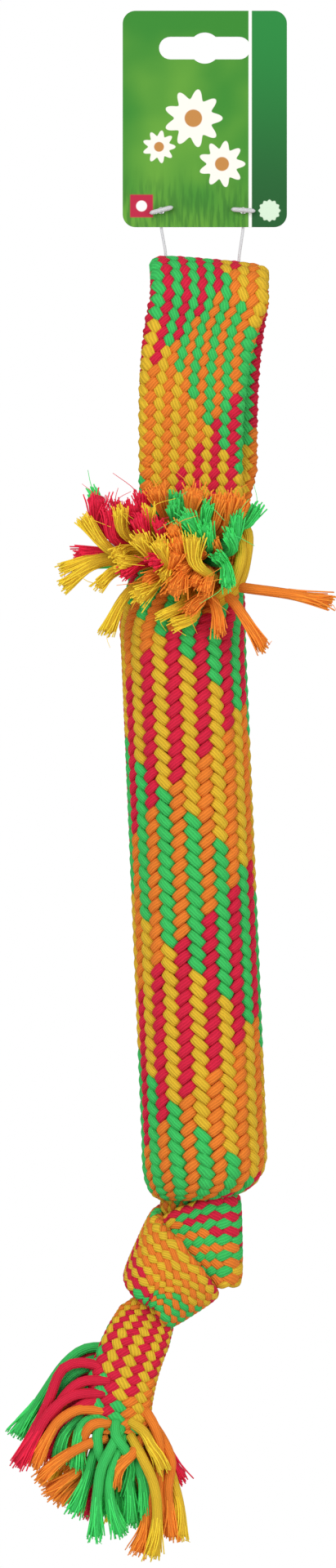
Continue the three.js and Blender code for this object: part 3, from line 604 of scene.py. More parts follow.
def add_tail(route):
    """Out of the knot, turning to the left and opening towards the fringe"""
    joint = np.array(knot_stations()[-1][0])
    route.mark("tail_joint")
    for step in np.linspace(0, TAIL_FLEX_LENGTH, 8, endpoint=False):
        share = step / TAIL_FLEX_LENGTH
        width = mix(TAIL_TOP_SHARE, 1, share) * TAIL_HALF_WIDTH
        depth = mix(KNOT_HALF_DEPTH, TAIL_HALF_DEPTH, share)
        wall = mix(KNOT_WALL, TAIL_WALL, share)
        route.add(joint + heading(TAIL_ANGLE) * step, square_to(TAIL_ANGLE), width, depth, FLAT, wall)
    route.mark("tail_braid")
    at = joint + heading(TAIL_ANGLE) * TAIL_FLEX_LENGTH
    for i in range(TAIL_RINGS):
        share = i / (TAIL_RINGS - 1)
        angle = mix(TAIL_ANGLE, TAIL_END_ANGLE, share)
        width = mix(TAIL_HALF_WIDTH, TAIL_END_HALF_WIDTH, share)
        depth = mix(TAIL_HALF_DEPTH, TAIL_END_HALF_DEPTH, share)
        across = square_to(angle)
        route.add(at + across * TAIL_END_SHIFT * share, across, width, depth, FLAT, TAIL_WALL)
        at = at + heading(angle) * TAIL_BRAID_LENGTH / (TAIL_RINGS - 1)
    route.mark("tail_end")


def ring_outline(half_width, half_depth, shape):
    """A section of the rope's middle surface, evenly spaced from the middle of its outer face"""
    turn = np.linspace(0, 2 * math.pi, OUTLINE_POINTS)
    side = half_width * np.sign(np.sin(turn)) * np.abs(np.sin(turn)) ** shape
    rise = half_depth * np.sign(np.cos(turn)) * np.abs(np.cos(turn)) ** shape
    run = run_of(np.hypot(np.diff(side), np.diff(rise)))
    even = np.linspace(0, run[-1], RING_POINTS, endpoint=False)
    return np.interp(even, run, side), np.interp(even, run, rise), run[-1]


class Rope:
    """The braid's middle surface: s runs along the rope in millimetres, f once round it from 0 to 1"""

    def __init__(self):
        route = Route()
        for add_section in (add_loop_end, add_handle, add_sleeve, add_knot, add_tail):
            add_section(route)
        self.centre = np.array([station[0] for station in route.stations])
        along = unit(np.gradient(self.centre, axis=0))
        grid = []
        girth = []
        walls = []
        for ahead, station in zip(along, route.stations):
            at, across, half_width, half_depth, shape, wall, normal = station
            across = unit(across)
            if normal is None:
                normal = unit(np.cross(ahead, across))
            middle_depth = max(half_depth - wall, LEAST_HALF_DEPTH)
            side, rise, length = ring_outline(half_width - wall, middle_depth, shape)
            grid.append(at + side[:, None] * across + rise[:, None] * normal)
            girth.append(length)
            walls.append(wall)
        self.grid = np.array(grid)
        self.girth = np.array(girth)
        self.wall = np.array(walls)
        self.s = run_of(np.linalg.norm(np.diff(self.grid, axis=0), axis=2).mean(axis=1))
        lengthwise = np.gradient(self.grid, self.s, axis=0)
        roundwise = np.roll(self.grid, -1, axis=1) - np.roll(self.grid, 1, axis=1)
        self.out = unit(np.cross(lengthwise, roundwise))
        self.marks = {name: self.s[min(i, len(self.s) - 1)] for name, i in route.marks.items()}
        self.set_turns()
        self.set_crowding()

    def down_front(self, z):
        """Where the rope's centre passes height z below the handle's front"""
        first, last = self.marks["front_root_top"], self.marks["gather"]
        inside = (self.s >= first - 1e-6) & (self.s <= last + 1e-6)
        heights = self.centre[inside, 2]
        order = np.argsort(heights)
        return float(np.interp(z, heights[order], self.s[inside][order]))

    def set_turns(self):
        """How far round the rope each set of yarns has run, so that colours change where they should"""
        root = self.marks["front_root_top"]
        knot = self.marks["knot_top"]
        tail = self.marks["tail_braid"]
        rear = root - REAR_LENGTH
        neck = self.down_front(NECK_Z)
        end = float(self.s[-1]) + OVERRUN
        self.fine = np.linspace(0, float(self.s[-1]), TURN_SAMPLES)
        step = self.fine[1] - self.fine[0]
        padded = np.arange(-TURN_SMOOTHING, TURN_SAMPLES + TURN_SMOOTHING) * step
        window = np.hanning(2 * TURN_SMOOTHING + 1)
        self.set_of_turns = []
        for family in (0, 1):
            strap_z, turns, held, shift = STRAP_TURNS[family]
            zero_z, lead = SLEEVE_TURNS[family]
            strap = root + ROOT_TOP_Z - strap_z
            first_turns = turns + (rear - strap) / STRAP_LEAD - ONE_YARN
            anchors = [
                (-OVERRUN, first_turns - (rear + OVERRUN) / STRAP_LEAD),
                (rear, first_turns),
                (strap - held, turns - held / STRAP_LEAD + shift),
                (strap, turns + shift),
                (neck, turns + (neck - strap) / STRAP_LEAD + shift / 2),
                (self.down_front(TUBE_TOP_Z), (zero_z - TUBE_TOP_Z) / lead),
                (self.down_front(DOME_Z), (zero_z - DOME_Z) / lead),
                (self.marks["gather"], GATHER_TURNS[family]),
                *((knot + past, both[family]) for past, *both in KNOT_TURNS),
                (tail, TAIL_TURNS[family]),
                (end, TAIL_TURNS[family] + (end - tail) / TAIL_LEAD),
            ]
            raw = np.interp(padded, *np.array(anchors).T)
            self.set_of_turns.append(np.convolve(raw, window / window.sum(), "valid"))

    def set_crowding(self):
        """Where the yarns lie closer together than all round"""
        root = self.marks["front_root_top"]
        crowd = (self.marks["knot_top"] + TAIL_CROWDING_START, self.marks["tail_braid"])
        self.crowding = np.interp(self.s, crowd, (0, TAIL_CROWDING))
        places = [(root - up, share) for up, share in STRAP_CLOSENESS]
        places += [(self.down_front(z), share) for z, share in STICK_CLOSENESS]
        places.append((self.marks["gather"], 0))
        at, shares = np.array(places).T
        self.closeness = np.interp(self.s, at, FRONT_CROWDING * shares)

    def turns(self, s, family):
        return np.interp(s, self.fine, self.set_of_turns[family])

    def girth_at(self, s):
        return np.interp(s, self.s, self.girth)

    def wall_at(self, s):
        return np.interp(s, self.s, self.wall)

    def place(self, s, f, height):
        """Points of space, in millimetres, for places on the braid's surface and heights above it"""
        i = np.clip(np.searchsorted(self.s, s) - 1, 0, len(self.s) - 2)
        t = ((s - self.s[i]) / (self.s[i + 1] - self.s[i]))[:, None]
        crowding = np.interp(s, self.s, self.crowding)
        closeness = np.interp(s, self.s, self.closeness)
        around = f + crowding * np.sin(4 * math.pi * f) / (4 * math.pi)
        around = np.mod(around - closeness * np.sin(2 * math.pi * f) / (2 * math.pi), 1) * RING_POINTS
        k = np.floor(around).astype(int) % RING_POINTS
        u = (around - np.floor(around))[:, None]
        n = (k + 1) % RING_POINTS
        weights = ((1 - t) * (1 - u), (1 - t) * u, t * (1 - u), t * u)
        corners = ((i, k), (i, n), (i + 1, k), (i + 1, n))
        at = sum(w * self.grid[c] for w, c in zip(weights, corners))
        out = unit(sum(w * self.out[c] for w, c in zip(weights, corners)))
        return at + out * height[:, None]


YARN_MATERIALS = {}
LIGHTENED_THREAD_MATERIALS = {}
ROPE = Rope()


def tubes(name, paths, roundness):
    """One mesh of round tubes with closed ends. A path is points, radii and the number of its material"""
    curve = bpy.data.curves.new(name, "CURVE")
    curve.dimensions = "3D"
    curve.twist_mode = "MINIMUM"
    curve.fill_mode = "FULL"
    curve.bevel_depth = 1
    curve.bevel_resolution = roundness
    curve.use_fill_caps = True
    for _ in COLOUR_NAMES:
        curve.materials.append(None)
    for points, radii, material in paths:
        spline = curve.splines.new("POLY")
        spline.points.add(len(points) - 1)
        spline.points.foreach_set("co", np.c_[points, np.ones(len(points))].astype(np.float32).ravel())
        spline.points.foreach_set("radius", np.asarray(radii, np.float32))
        spline.material_index = material
        spline.use_smooth = True
    holder = bpy.data.objects.new(name, curve)
    mesh = bpy.data.meshes.new_from_object(holder)
    bpy.data.objects.remove(holder)
    bpy.data.curves.remove(curve)
    return mesh


def welded(mesh, distance, run_length):
    """The mesh's bmesh with its end caps joined on and its UV running in millimetres along each tube"""
    bm = bmesh.new()
    bm.from_mesh(mesh)
    bmesh.ops.remove_doubles(bm, verts=bm.verts, dist=distance)
    run = bm.loops.layers.uv.verify()
    for face in bm.faces:
        face.smooth = True
        for loop in face.loops:
            loop[run].uv.x *= run_length
    return bm


def new_mesh(name, bm):
    mesh = bpy.data.meshes.new(name)
    bm.to_mesh(mesh)
    bm.free()
    return mesh


def new_object(name, mesh, materials):
    piece = bpy.data.objects.new(name, mesh)
    bpy.context.scene.collection.objects.link(piece)
    for material in materials:
        mesh.materials.append(material)
    return piece


def set_points(mesh, points):
    mesh.vertices.foreach_set("co", np.asarray(points, np.float32).ravel())
    mesh.update()


def get_points(mesh):
    points = np.zeros(len(mesh.vertices) * 3, np.float32)
    mesh.vertices.foreach_get("co", points)
    return points.reshape(-1, 3).astype(float)


def yarn_colour(family, number):
    """The first set of yarns is half yellow and half green, the other half red and half orange"""
    first_half = number < CARRIERS // 2
    if family == 0:
        return COLOUR_NAMES.index("yellow" if first_half else "green")
    return COLOUR_NAMES.index("red" if first_half else "orange")


def crossings(s):
    """How many yarns of the other set a yarn has met by place s"""
    return CARRIERS * (ROPE.turns(s, 0) + ROPE.turns(s, 1))


def float_height(crossing, bias):
    """About +1 where a yarn floats over two others and -1 where it dives under two"""
    wave = (np.cos(2 * math.pi * (crossing - 0.5) / 4) + bias) / (1 + abs(bias))
    return np.sign(wave) * np.abs(wave) ** FLOAT_POWER


class YarnSet:
    """One set of yarns between two places on the rope, drawn flat and then wrapped on its surface"""

    def __init__(self, start, end, family, sizes):
        self.family = family
        self.direction = 1 if family == 0 else -1
        self.wobble = sizes.wobble / MM
        count = max(int((crossings(end) - crossings(start)) * SAMPLES_PER_CROSSING), 6)
        self.s = np.linspace(start, end, count)
        turns = ROPE.turns(self.s, family)
        girth = ROPE.girth_at(self.s)
        self.lean = self.direction * girth * np.gradient(turns, self.s)
        spacing = girth / CARRIERS / np.sqrt(1 + self.lean * self.lean)
        over = np.minimum(sizes.yarn_width / MM / 2, OVER_WIDTH * spacing)
        if family == 0:
            over = over * FALLING_WIDTH
        under = UNDER_WIDTH * spacing
        self.half_width = (over + under) / 2
        self.swell = (over - under) / (over + under)
        self.sideways = self.direction * run_of(np.diff(turns) * (girth[1:] + girth[:-1]) / 2)
        met = crossings(self.s)
        self.lifts = []
        for odd in (0, 1):
            crossing = 2 * odd + 2 + met if family == 0 else 2 * odd - met
            self.lifts.append(float_height(crossing, self.direction * FLOAT_BIAS))

    def chart(self, lift):
        """One yarn as a flat tube that swells where it floats"""
        path = np.c_[self.sideways, self.s, np.zeros(len(self.s))]
        radii = self.half_width * (1 + self.swell * lift)
        length = float(np.hypot(np.diff(self.sideways), np.diff(self.s)).sum())
        return welded(tubes("chart", [(path, radii, 0)], FLAT_YARN_ROUNDNESS), FLAT_WELD, length)

    def wrapped(self, flat, number):
        """Points of the flat yarns, each with its yarn's number, laid on the rope"""
        tilt = np.interp(flat[:, 1], self.s, self.lean)
        stretch = np.sqrt(1 + tilt * tilt)
        aside = (flat[:, 0] - np.interp(flat[:, 1], self.s, self.sideways)) / stretch
        middle = flat[:, 1] + aside * tilt / stretch
        even, odd = (np.interp(middle, self.s, lift) for lift in self.lifts)
        lift = np.where(number % 2, odd, even)
        half = np.interp(middle, self.s, self.half_width)
        radius = np.maximum(np.hypot(aside, flat[:, 2]), 1e-6)
        corner = np.abs(aside / radius) ** SQUARENESS + np.abs(flat[:, 2] / radius) ** SQUARENESS
        square = corner ** (-1 / SQUARENESS)
        aside = aside * square
        wall = ROPE.wall_at(np.clip(middle, 0, ROPE.s[-1]))
        height = wall * (YARN_DEPTH * square * flat[:, 2] / half + YARN_RISE * lift)
        s = np.clip(middle - aside * tilt / stretch, 0, ROPE.s[-1])
        rng = np.random.default_rng(YARN_SEED + self.family)
        beat = rng.uniform(*STRAY_BEATS, CARRIERS)[number]
        lag = rng.uniform(0, 2 * math.pi, CARRIERS)[number]
        stray = self.wobble * np.sin(beat * 2 * math.pi * s + lag)
        f = self.direction * ROPE.turns(s, self.family) + number / CARRIERS
        return ROPE.place(s, f + (aside * stretch + stray) / ROPE.girth_at(s), height)

    def mesh(self, name):
        """All yarns of the set as one mesh"""
        charts = [self.chart(lift) for lift in self.lifts]
        bm = bmesh.new()
        flat = []
        numbers = []
        colours = []
        for number in range(CARRIERS):
            lone = bpy.data.meshes.new("lone")
            charts[number % 2].to_mesh(lone)
            bm.from_mesh(lone)
            flat.append(get_points(lone))
            numbers.append(np.full(len(lone.vertices), number))
            colours.append(np.full(len(lone.polygons), yarn_colour(self.family, number), np.int32))
            bpy.data.meshes.remove(lone)
        for chart in charts:
            chart.free()
        mesh = new_mesh(name, bm)
        set_points(mesh, self.wrapped(np.concatenate(flat), np.concatenate(numbers)) * MM)
        mesh.polygons.foreach_set("material_index", np.concatenate(colours))
        return mesh


def braid_length(name, first, last, sizes, joined=True):
    """Both sets of yarns between two marks of the rope, as one piece or as one each"""
    names = (f"{name}_falling", f"{name}_rising")
    ends = (ROPE.marks[first], ROPE.marks[last])
    meshes = [YarnSet(*ends, family, sizes).mesh(names[family]) for family in (0, 1)]
    if joined:
        bm = bmesh.new()
        for mesh in meshes:
            bm.from_mesh(mesh)
            bpy.data.meshes.remove(mesh)
        names = (name,)
        meshes = [new_mesh(name, bm)]
    pieces = [new_object(title, mesh, YARN_MATERIALS.values()) for title, mesh in zip(names, meshes)]
    return pieces


def part_round_slit(piece):
    """The neck's yarns lie aside round the slit that the loop's end comes through"""
    points = get_points(piece.data) / MM
    aside = np.c_[(points[:, 0] - SLIT_X) / SLIT_HALF_WIDTH, (points[:, 2] - SLIT_Z) / SLIT_HALF_HEIGHT]
    radius = np.maximum(np.linalg.norm(aside, axis=1), 0.05)
    push = np.where(radius < SLIT_REACH, (1 - np.minimum(radius / SLIT_REACH, 1)) ** 2, 0)
    grown = (radius + push) / radius
    points[:, 0] = SLIT_X + aside[:, 0] * grown * SLIT_HALF_WIDTH
    points[:, 2] = SLIT_Z + aside[:, 1] * grown * SLIT_HALF_HEIGHT
    set_points(piece.data, points * MM)


def node_tree(owner):
    """The empty node tree of a material or a world"""
    owner.use_nodes = True
    owner.node_tree.nodes.clear()
    return owner.node_tree


def add_node(tree, kind, inputs=None, **settings):
    node = tree.nodes.new(kind)
    for key, value in settings.items():
        setattr(node, key, value)
    for key, value in (inputs or {}).items():
        socket = node.inputs[key]
        if isinstance(value, bpy.types.NodeSocket):
            tree.links.new(value, socket)
        else:
            socket.default_value = value
    return node


def math_node(tree, operation, *values):
    return add_node(tree, "ShaderNodeMath", dict(enumerate(values)), operation=operation).outputs[0]


def mix_colour(tree, share, first, second):
    return add_node(tree, "ShaderNodeMix", {0: share, 6: first, 7: second}, data_type="RGBA").outputs[2]


def noise(tree, place, scale, detail=2):
    inputs = {"Vector": place, "Scale": scale, "Detail": detail}
    return add_node(tree, "ShaderNodeTexNoise", inputs).outputs[0]


def bumps(tree, height, strength, distance):
    inputs = {"Strength": strength, "Distance": distance, "Height": height}
    return add_node(tree, "ShaderNodeBump", inputs).outputs[0]


def new_material(name):
    """A material, its empty node tree and its Object coordinates"""
    material = bpy.data.materials.new(name)
    tree = node_tree(material)
    return material, tree, add_node(tree, "ShaderNodeTexCoord").outputs["Object"]


def principled(tree, inputs):
    return add_node(tree, "ShaderNodeBsdfPrincipled", inputs).outputs[0]


def finish_material(tree, shader):
    add_node(tree, "ShaderNodeOutputMaterial", {0: shader})


def shade(colour, factor):
    return (*(min(1, channel * factor) for channel in colour), 1)


def cotton_material(name, colour):
    """Twisted cotton yarn: plies that run along it, loose fibres, uneven dye and painted shade in the
    grooves between the plies
    """
    material, tree, place = new_material(name)
    own_uv = add_node(tree, "ShaderNodeUVMap").outputs[0]
    run = add_node(tree, "ShaderNodeSeparateXYZ", {0: own_uv}).outputs
    plies = math_node(tree, "MULTIPLY", run[1], PLIES)
    twist = math_node(tree, "MULTIPLY", run[0], PLY_TWIST)
    waver = math_node(tree, "MULTIPLY", noise(tree, place, 420), 0.9)
    phase = math_node(tree, "ADD", math_node(tree, "ADD", plies, twist), waver)
    wave = math_node(tree, "SINE", math_node(tree, "MULTIPLY", phase, 2 * math.pi))
    ridge = math_node(tree, "MULTIPLY_ADD", wave, 0.5, 0.5)
    uneven = mix_colour(tree, noise(tree, place, 95, 3), shade(colour, 0.84), shade(colour, 1.14))
    # Painted shade: the colour darkens towards half of itself in the grooves between the plies, where shade
    # falls
    painted_groove_shade = math_node(tree, "MULTIPLY", math_node(tree, "SUBTRACT", 1, ridge), 0.42)
    fibres = math_node(tree, "MULTIPLY", noise(tree, place, 2600, 4), 0.8)
    height = math_node(tree, "ADD", ridge, fibres)
    inputs = {
        "Base Color": mix_colour(tree, painted_groove_shade, uneven, shade(colour, 0.5)),
        "Roughness": 0.88,
        "Specular IOR Level": 0.2,
        "Sheen Weight": 0.1,
        "Sheen Roughness": 0.45,
        "Sheen Tint": shade(colour, 1.25),
        "Normal": bumps(tree, height, 0.55, 0.0004),
    }
    finish_material(tree, principled(tree, inputs))
    return material


def painted_light_thread_material(name, colour):
    """Frayed cotton: single threads, whose colour is painted lighter than the twisted yarn's, as painted
    light for the light that comes through them and against the shade among them
    """
    material, tree, place = new_material(name)
    inputs = {
        # Painted light: the threads' colour is raised to 1.05 to 1.6 times the yarn's colour
        "Base Color": mix_colour(tree, noise(tree, place, 700), shade(colour, 1.05), shade(colour, 1.6)),
        "Roughness": 0.85,
        "Specular IOR Level": 0.2,
        "Sheen Weight": 0.1,
        "Sheen Tint": shade(colour, 1.3),
        "Normal": bumps(tree, noise(tree, place, 5200), 0.3, 0.0001),
    }
    finish_material(tree, principled(tree, inputs))
    return material


def plain_plastic(name, colour, roughness, transmission, mottling):
    """Moulded plastic with faint clouds in its colour"""
    material, tree, place = new_material(name)
    clouds = noise(tree, place, 300, 3)
    inputs = {
        "Base Color": mix_colour(tree, clouds, shade(colour, 1 - mottling), shade(colour, 1 + mottling)),
        "Roughness": roughness,
        "IOR": 1.5,
        "Transmission Weight": transmission,
        "Normal": bumps(tree, clouds, 0.12, 0.0002),
    }
    finish_material(tree, principled(tree, inputs))
    return material


def soft_step(tree, value, low, high):
    """From 0 at low to 1 at high"""
    inputs = {"Value": value, "From Min": low, "From Max": high}
    return add_node(tree, "ShaderNodeMapRange", inputs, interpolation_type="SMOOTHSTEP").outputs[0]


def disc_mask(tree, x, z, centre, radius, petals=0, depth=0.0):
    """1 inside a round or petalled spot of the card's face"""
    dx = math_node(tree, "SUBTRACT", x, centre[0])
    dz = math_node(tree, "SUBTRACT", z, centre[1])
    squares = [math_node(tree, "MULTIPLY", side, side) for side in (dx, dz)]
    distance = math_node(tree, "SQRT", math_node(tree, "ADD", *squares))
    if petals:
        angle = math_node(tree, "ARCTAN2", dz, dx)
        ripple = math_node(tree, "COSINE", math_node(tree, "MULTIPLY", angle, petals))
        distance = math_node(tree, "SUBTRACT", distance, math_node(tree, "MULTIPLY", ripple, depth))
    return soft_step(tree, distance, radius + PRINT_EDGE, radius - PRINT_EDGE)


def box_mask(tree, x, z, centre, half, edge=PRINT_EDGE):
    """1 inside a rectangle of the card's face"""
    sides = []
    for value, middle, reach in zip((x, z), centre, half):
        away = math_node(tree, "ABSOLUTE", math_node(tree, "SUBTRACT", value, middle))
        sides.append(soft_step(tree, away, reach + edge, reach - edge))
    return math_node(tree, "MULTIPLY", *sides)


def card_material(colours):
    """Printed card: a hazy meadow with daisies, a side band and a badge, white behind and on its edges"""
    material, tree, place = new_material("printed_card")
    axes = add_node(tree, "ShaderNodeSeparateXYZ", {0: place}).outputs
    x, z = axes[0], axes[2]
    haze = noise(tree, place, 42, 1.5)
    lower = math_node(tree, "MULTIPLY", z, -4.5)
    lighter = soft_step(tree, math_node(tree, "ADD", haze, lower), 0.42, 0.95)
    face = mix_colour(tree, lighter, shade(colours.meadow, 1), shade(colours.light, 1))
    upright = add_node(tree, "ShaderNodeMapping", {"Vector": place, "Scale": (700, 1, 90)}).outputs[0]
    blades = soft_step(tree, noise(tree, upright, 1), 0.4, 0.62)
    grass = math_node(tree, "MULTIPLY", soft_step(tree, z, *GRASS_Z), blades)
    layers = [(math_node(tree, "MULTIPLY", grass, 0.6), shade(colours.meadow, 0.62))]
    for centre, radius in DAISIES:
        layers.append((disc_mask(tree, x, z, centre, radius, DAISY_PETALS, radius * 0.2), PETAL_WHITE))
        layers.append((disc_mask(tree, x, z, centre, radius * DAISY_EYE), EYE_BROWN))
    fade = soft_step(tree, z, *BAND_Z)
    band_colour = mix_colour(tree, fade, shade(colours.band, 0.7), shade(colours.band, 1.75))
    layers += [
        (soft_step(tree, x, *BAND_X), band_colour),
        (box_mask(tree, x, z, *STRIPE), STRIPE_WHITE),
        (box_mask(tree, x, z, BADGE, BADGE_HALF, BADGE_EDGE), shade(colours.badge, 1)),
        (disc_mask(tree, x, z, BADGE, BADGE_DOT), DOT_WHITE),
        (disc_mask(tree, x, z, SEAL, SEAL_RADIUS, SEAL_SCALLOPS, SEAL_DEPTH), SEAL_GREEN),
    ]
    for mask, ink in layers:
        face = mix_colour(tree, mask, face, ink)
    normal = add_node(tree, "ShaderNodeTexCoord").outputs["Normal"]
    facing = add_node(tree, "ShaderNodeSeparateXYZ", {0: normal}).outputs[1]
    board = mix_colour(tree, haze, BOARD_DARK, BOARD_LIGHT)
    inputs = {
        "Base Color": mix_colour(tree, soft_step(tree, facing, -0.4, -0.6), board, face),
        "Roughness": 0.5,
        "Specular IOR Level": 0.25,
        "Normal": bumps(tree, noise(tree, place, 1500), 0.06, 0.0001),
    }
    finish_material(tree, principled(tree, inputs))
    return material


class CRACKLE_OT_materials(bpy.types.Operator):
    """Make the yarn colours and the finishes of the card, the bottle and its cap"""

    bl_idname = "crackle.materials"
    bl_label = "Make finishes"

    def execute(self, context):
        colours = context.scene.crackle_yarn
        for name in COLOUR_NAMES:
            colour = tuple(getattr(colours, name))
            YARN_MATERIALS[name] = cotton_material(f"cotton_{name}", colour)
            # The frayed threads get the yarn's colour painted lighter, as painted light
            LIGHTENED_THREAD_MATERIALS[name] = painted_light_thread_material(f"frayed_{name}", colour)
        finishes = {
            "hang_card": card_material(context.scene.crackle_card),
            "crackle_bottle": plain_plastic("clear_bottle", (0.8, 0.88, 0.92), 0.12, 0.85, 0.03),
            "bottle_cap": plain_plastic("white_cap", (0.85, 0.85, 0.83), 0.4, 0, 0.04),
        }
        for node, material in finishes.items():
            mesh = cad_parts[node].data
            mesh.materials.clear()
            mesh.materials.append(material)
        return {"FINISHED"}


class CRACKLE_OT_handle(bpy.types.Operator):
    """Braid the handle loop and its two bending roots"""

    bl_idname = "crackle.handle"
    bl_label = "Braid the handle"

    def execute(self, context):
        sizes = context.scene.crackle_braid
        for piece in braid_length("handle_braid", "rear_root_top", "front_root_top", sizes, joined=False):
            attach(piece, "handle")
            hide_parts("handle_strap")
        roots = (
            ("rear_root_braid", "rear_root_foot", "rear_root_top", "strap_root_rear", ROOT_REAR_X, ROOT_Y),
            ("front_root_braid", "front_root_top", "neck_top", "strap_root_front", ROOT_FRONT_X, -ROOT_Y),
        )
        for name, first, last, node, x, y in roots:
            for piece in braid_length(name, first, last, sizes):
                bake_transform(piece)
                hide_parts(node)
        return {"FINISHED"}


class CRACKLE_OT_stick(bpy.types.Operator):
    """Braid the sleeve round the bottle and the loop's end behind the tuft"""

    bl_idname = "crackle.stick"
    bl_label = "Braid the stick"

    def execute(self, context):
        sizes = context.scene.crackle_braid
        for piece in braid_length("sleeve_braid", "neck_top", "gather", sizes, joined=False):
            part_round_slit(piece)
            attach(piece, "stick")
            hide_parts("braid_sleeve")
        for piece in braid_length("loop_end_braid", "loop_head", "rear_root_foot", sizes):
            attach(piece, "stick")
            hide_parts("loop_end")
        return {"FINISHED"}


class CRACKLE_OT_knot(bpy.types.Operator):
    """Braid the overhand knot and the tail below it"""

    bl_idname = "crackle.knot"
    bl_label = "Tie the knot"

    def execute(self, context):
        sizes = context.scene.crackle_braid
        for piece in braid_length("knot_neck_braid", "gather", "knot_top", sizes):
            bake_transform(piece)
            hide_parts("knot_neck")
        for piece in braid_length("knot_braid", "knot_top", "tail_joint", sizes, joined=False):
            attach(piece, "knot")
            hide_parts("knot")
        for piece in braid_length("tail_root_braid", "tail_joint", "tail_braid", sizes):
            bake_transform(piece)
            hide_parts("tail_root")
        for piece in braid_length("tail_braid_yarns", "tail_braid", "tail_end", sizes):
            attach(piece, "tail")
            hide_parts("tail_braid")
        return {"FINISHED"}


class Strand:
    """A smooth line through points, measured by shares of its length; past its end it runs straight on"""

    def __init__(self, points):
        line = through(points, 10 * len(points))
        ahead = unit(line[-1] - line[-2])
        run = run_of(np.linalg.norm(np.diff(line, axis=0), axis=1))
        self.length = run[-1]
        self.line = np.vstack((line, line[-1] + ahead * self.length))
        self.run = np.append(run, 2 * self.length)

    def at(self, shares):
        return np.stack([np.interp(shares * self.length, self.run, axis) for axis in self.line.T], axis=1)


def yarn_body(strand, colour, thickness, opening, spread):
    """The twisted part of a loose yarn and the thick of its brush, with a domed end"""
    twisted = np.linspace(0, 1 - opening, BODY_STEPS, endpoint=False)
    shares = np.concatenate((twisted, 1 - opening * BRUSH_BODY))
    opened = np.clip((shares - 1 + opening) / opening, 0, 1) ** BRUSH_OPENING
    radii = mix(thickness / 2, BODY_SHARE * spread, opened)
    radii[-len(BODY_DOME):] *= BODY_DOME
    return strand.at(shares) * MM, radii * MM, COLOUR_NAMES.index(colour)


def yarn_brush(strand, colour, thickness, opening, spread, rng):
    """The threads of a yarn's cut end, which lie close on it and then open"""
    threads = []
    for number in range(BRUSH_THREADS):
        ring = math.sqrt((number + 0.5) / BRUSH_THREADS)
        begin = 1 - opening * rng.uniform(*THREAD_OPENS)
        finish = 1 + rng.uniform(*THREAD_ENDS) / strand.length
        shares = np.linspace(max(begin, 0), finish, THREAD_STEPS)
        line = strand.at(shares)
        ahead = unit(np.gradient(line, axis=0))
        side = unit(np.cross(ahead, ASKEW))
        over = np.cross(ahead, side)
        opened = np.clip((shares - begin) / (1 - begin), 0, 1.2) ** BRUSH_OPENING
        inner = THREAD_ROOT * thickness * ring
        outer = spread * ring * rng.uniform(*THREAD_REACH)
        offset = mix(inner, outer, opened)
        turn = GOLDEN_ANGLE * number + rng.uniform(*THREAD_TURN) + rng.uniform(*THREAD_SWIRL) * opened
        line = line + offset[:, None] * (np.cos(turn)[:, None] * side + np.sin(turn)[:, None] * over)
        radii = np.linspace(*THREAD_RADII, THREAD_STEPS)
        threads.append((line * MM, radii * MM, COLOUR_NAMES.index(colour)))
    return threads


def frayed_bunch(name, ends, thickness, seed, strays, whole=()):
    """Loose yarns with their brushes, stray fibres and yarns that don't end"""
    rng = np.random.default_rng(seed)
    bodies = []
    threads = []
    for points, colour, spread in ends:
        strand = Strand(points)
        opening = min(BRUSH_LENGTH / strand.length, BRUSH_MOST)
        bodies.append(yarn_body(strand, colour, thickness, opening, spread))
        threads += yarn_brush(strand, colour, thickness, opening, spread, rng)
    for points, colour in whole:
        radii = np.full(RIM_STEPS, thickness / 2)
        bodies.append((through(points, RIM_STEPS) * MM, radii * MM, COLOUR_NAMES.index(colour)))
    for points, colour in strays:
        radii = np.linspace(*STRAY_RADII, STRAY_STEPS)
        threads.append((through(points, STRAY_STEPS) * MM, radii * MM, COLOUR_NAMES.index(colour)))
    pieces = []
    for kind, paths, roundness, run_length, finishes in (
        ("ends", bodies, END_ROUNDNESS, END_RUN, YARN_MATERIALS),
        ("threads", threads, THREAD_ROUNDNESS, THREAD_RUN, LIGHTENED_THREAD_MATERIALS),
    ):
        mesh = new_mesh(f"{name}_{kind}", welded(tubes(kind, paths, roundness), WELD, run_length))
        piece = new_object(f"{name}_{kind}", mesh, finishes.values())
        pieces.append(piece)
    return pieces


def stray_fibres(ends, count, drift, rng):
    """Single fibres that stand away from some of the brushes"""
    strays = []
    for i in range(count):
        points, colour, _ = ends[(7 * i + 3) % len(ends)]
        tip = np.array(points[-1], float)
        away = rng.uniform(-1, 1, 3) * drift
        begin = mix(np.array(points[-2], float), tip, 0.6)
        strays.append(((begin, tip + 0.25 * away, tip + away), colour))
    return strays


# The head that the tuft's yarns leave from, half of its width and height, and how far a yarn's bend lies
# towards its tip and a yarn's root towards its bend
TUFT_HEAD = np.array((-8.0, -13.0, -184.0))
TUFT_HEAD_HALF = np.array((12.0, 0.0, 7.0))
TUFT_BEND_SHARE = 0.62
TUFT_ROOT_SHARE = 0.4

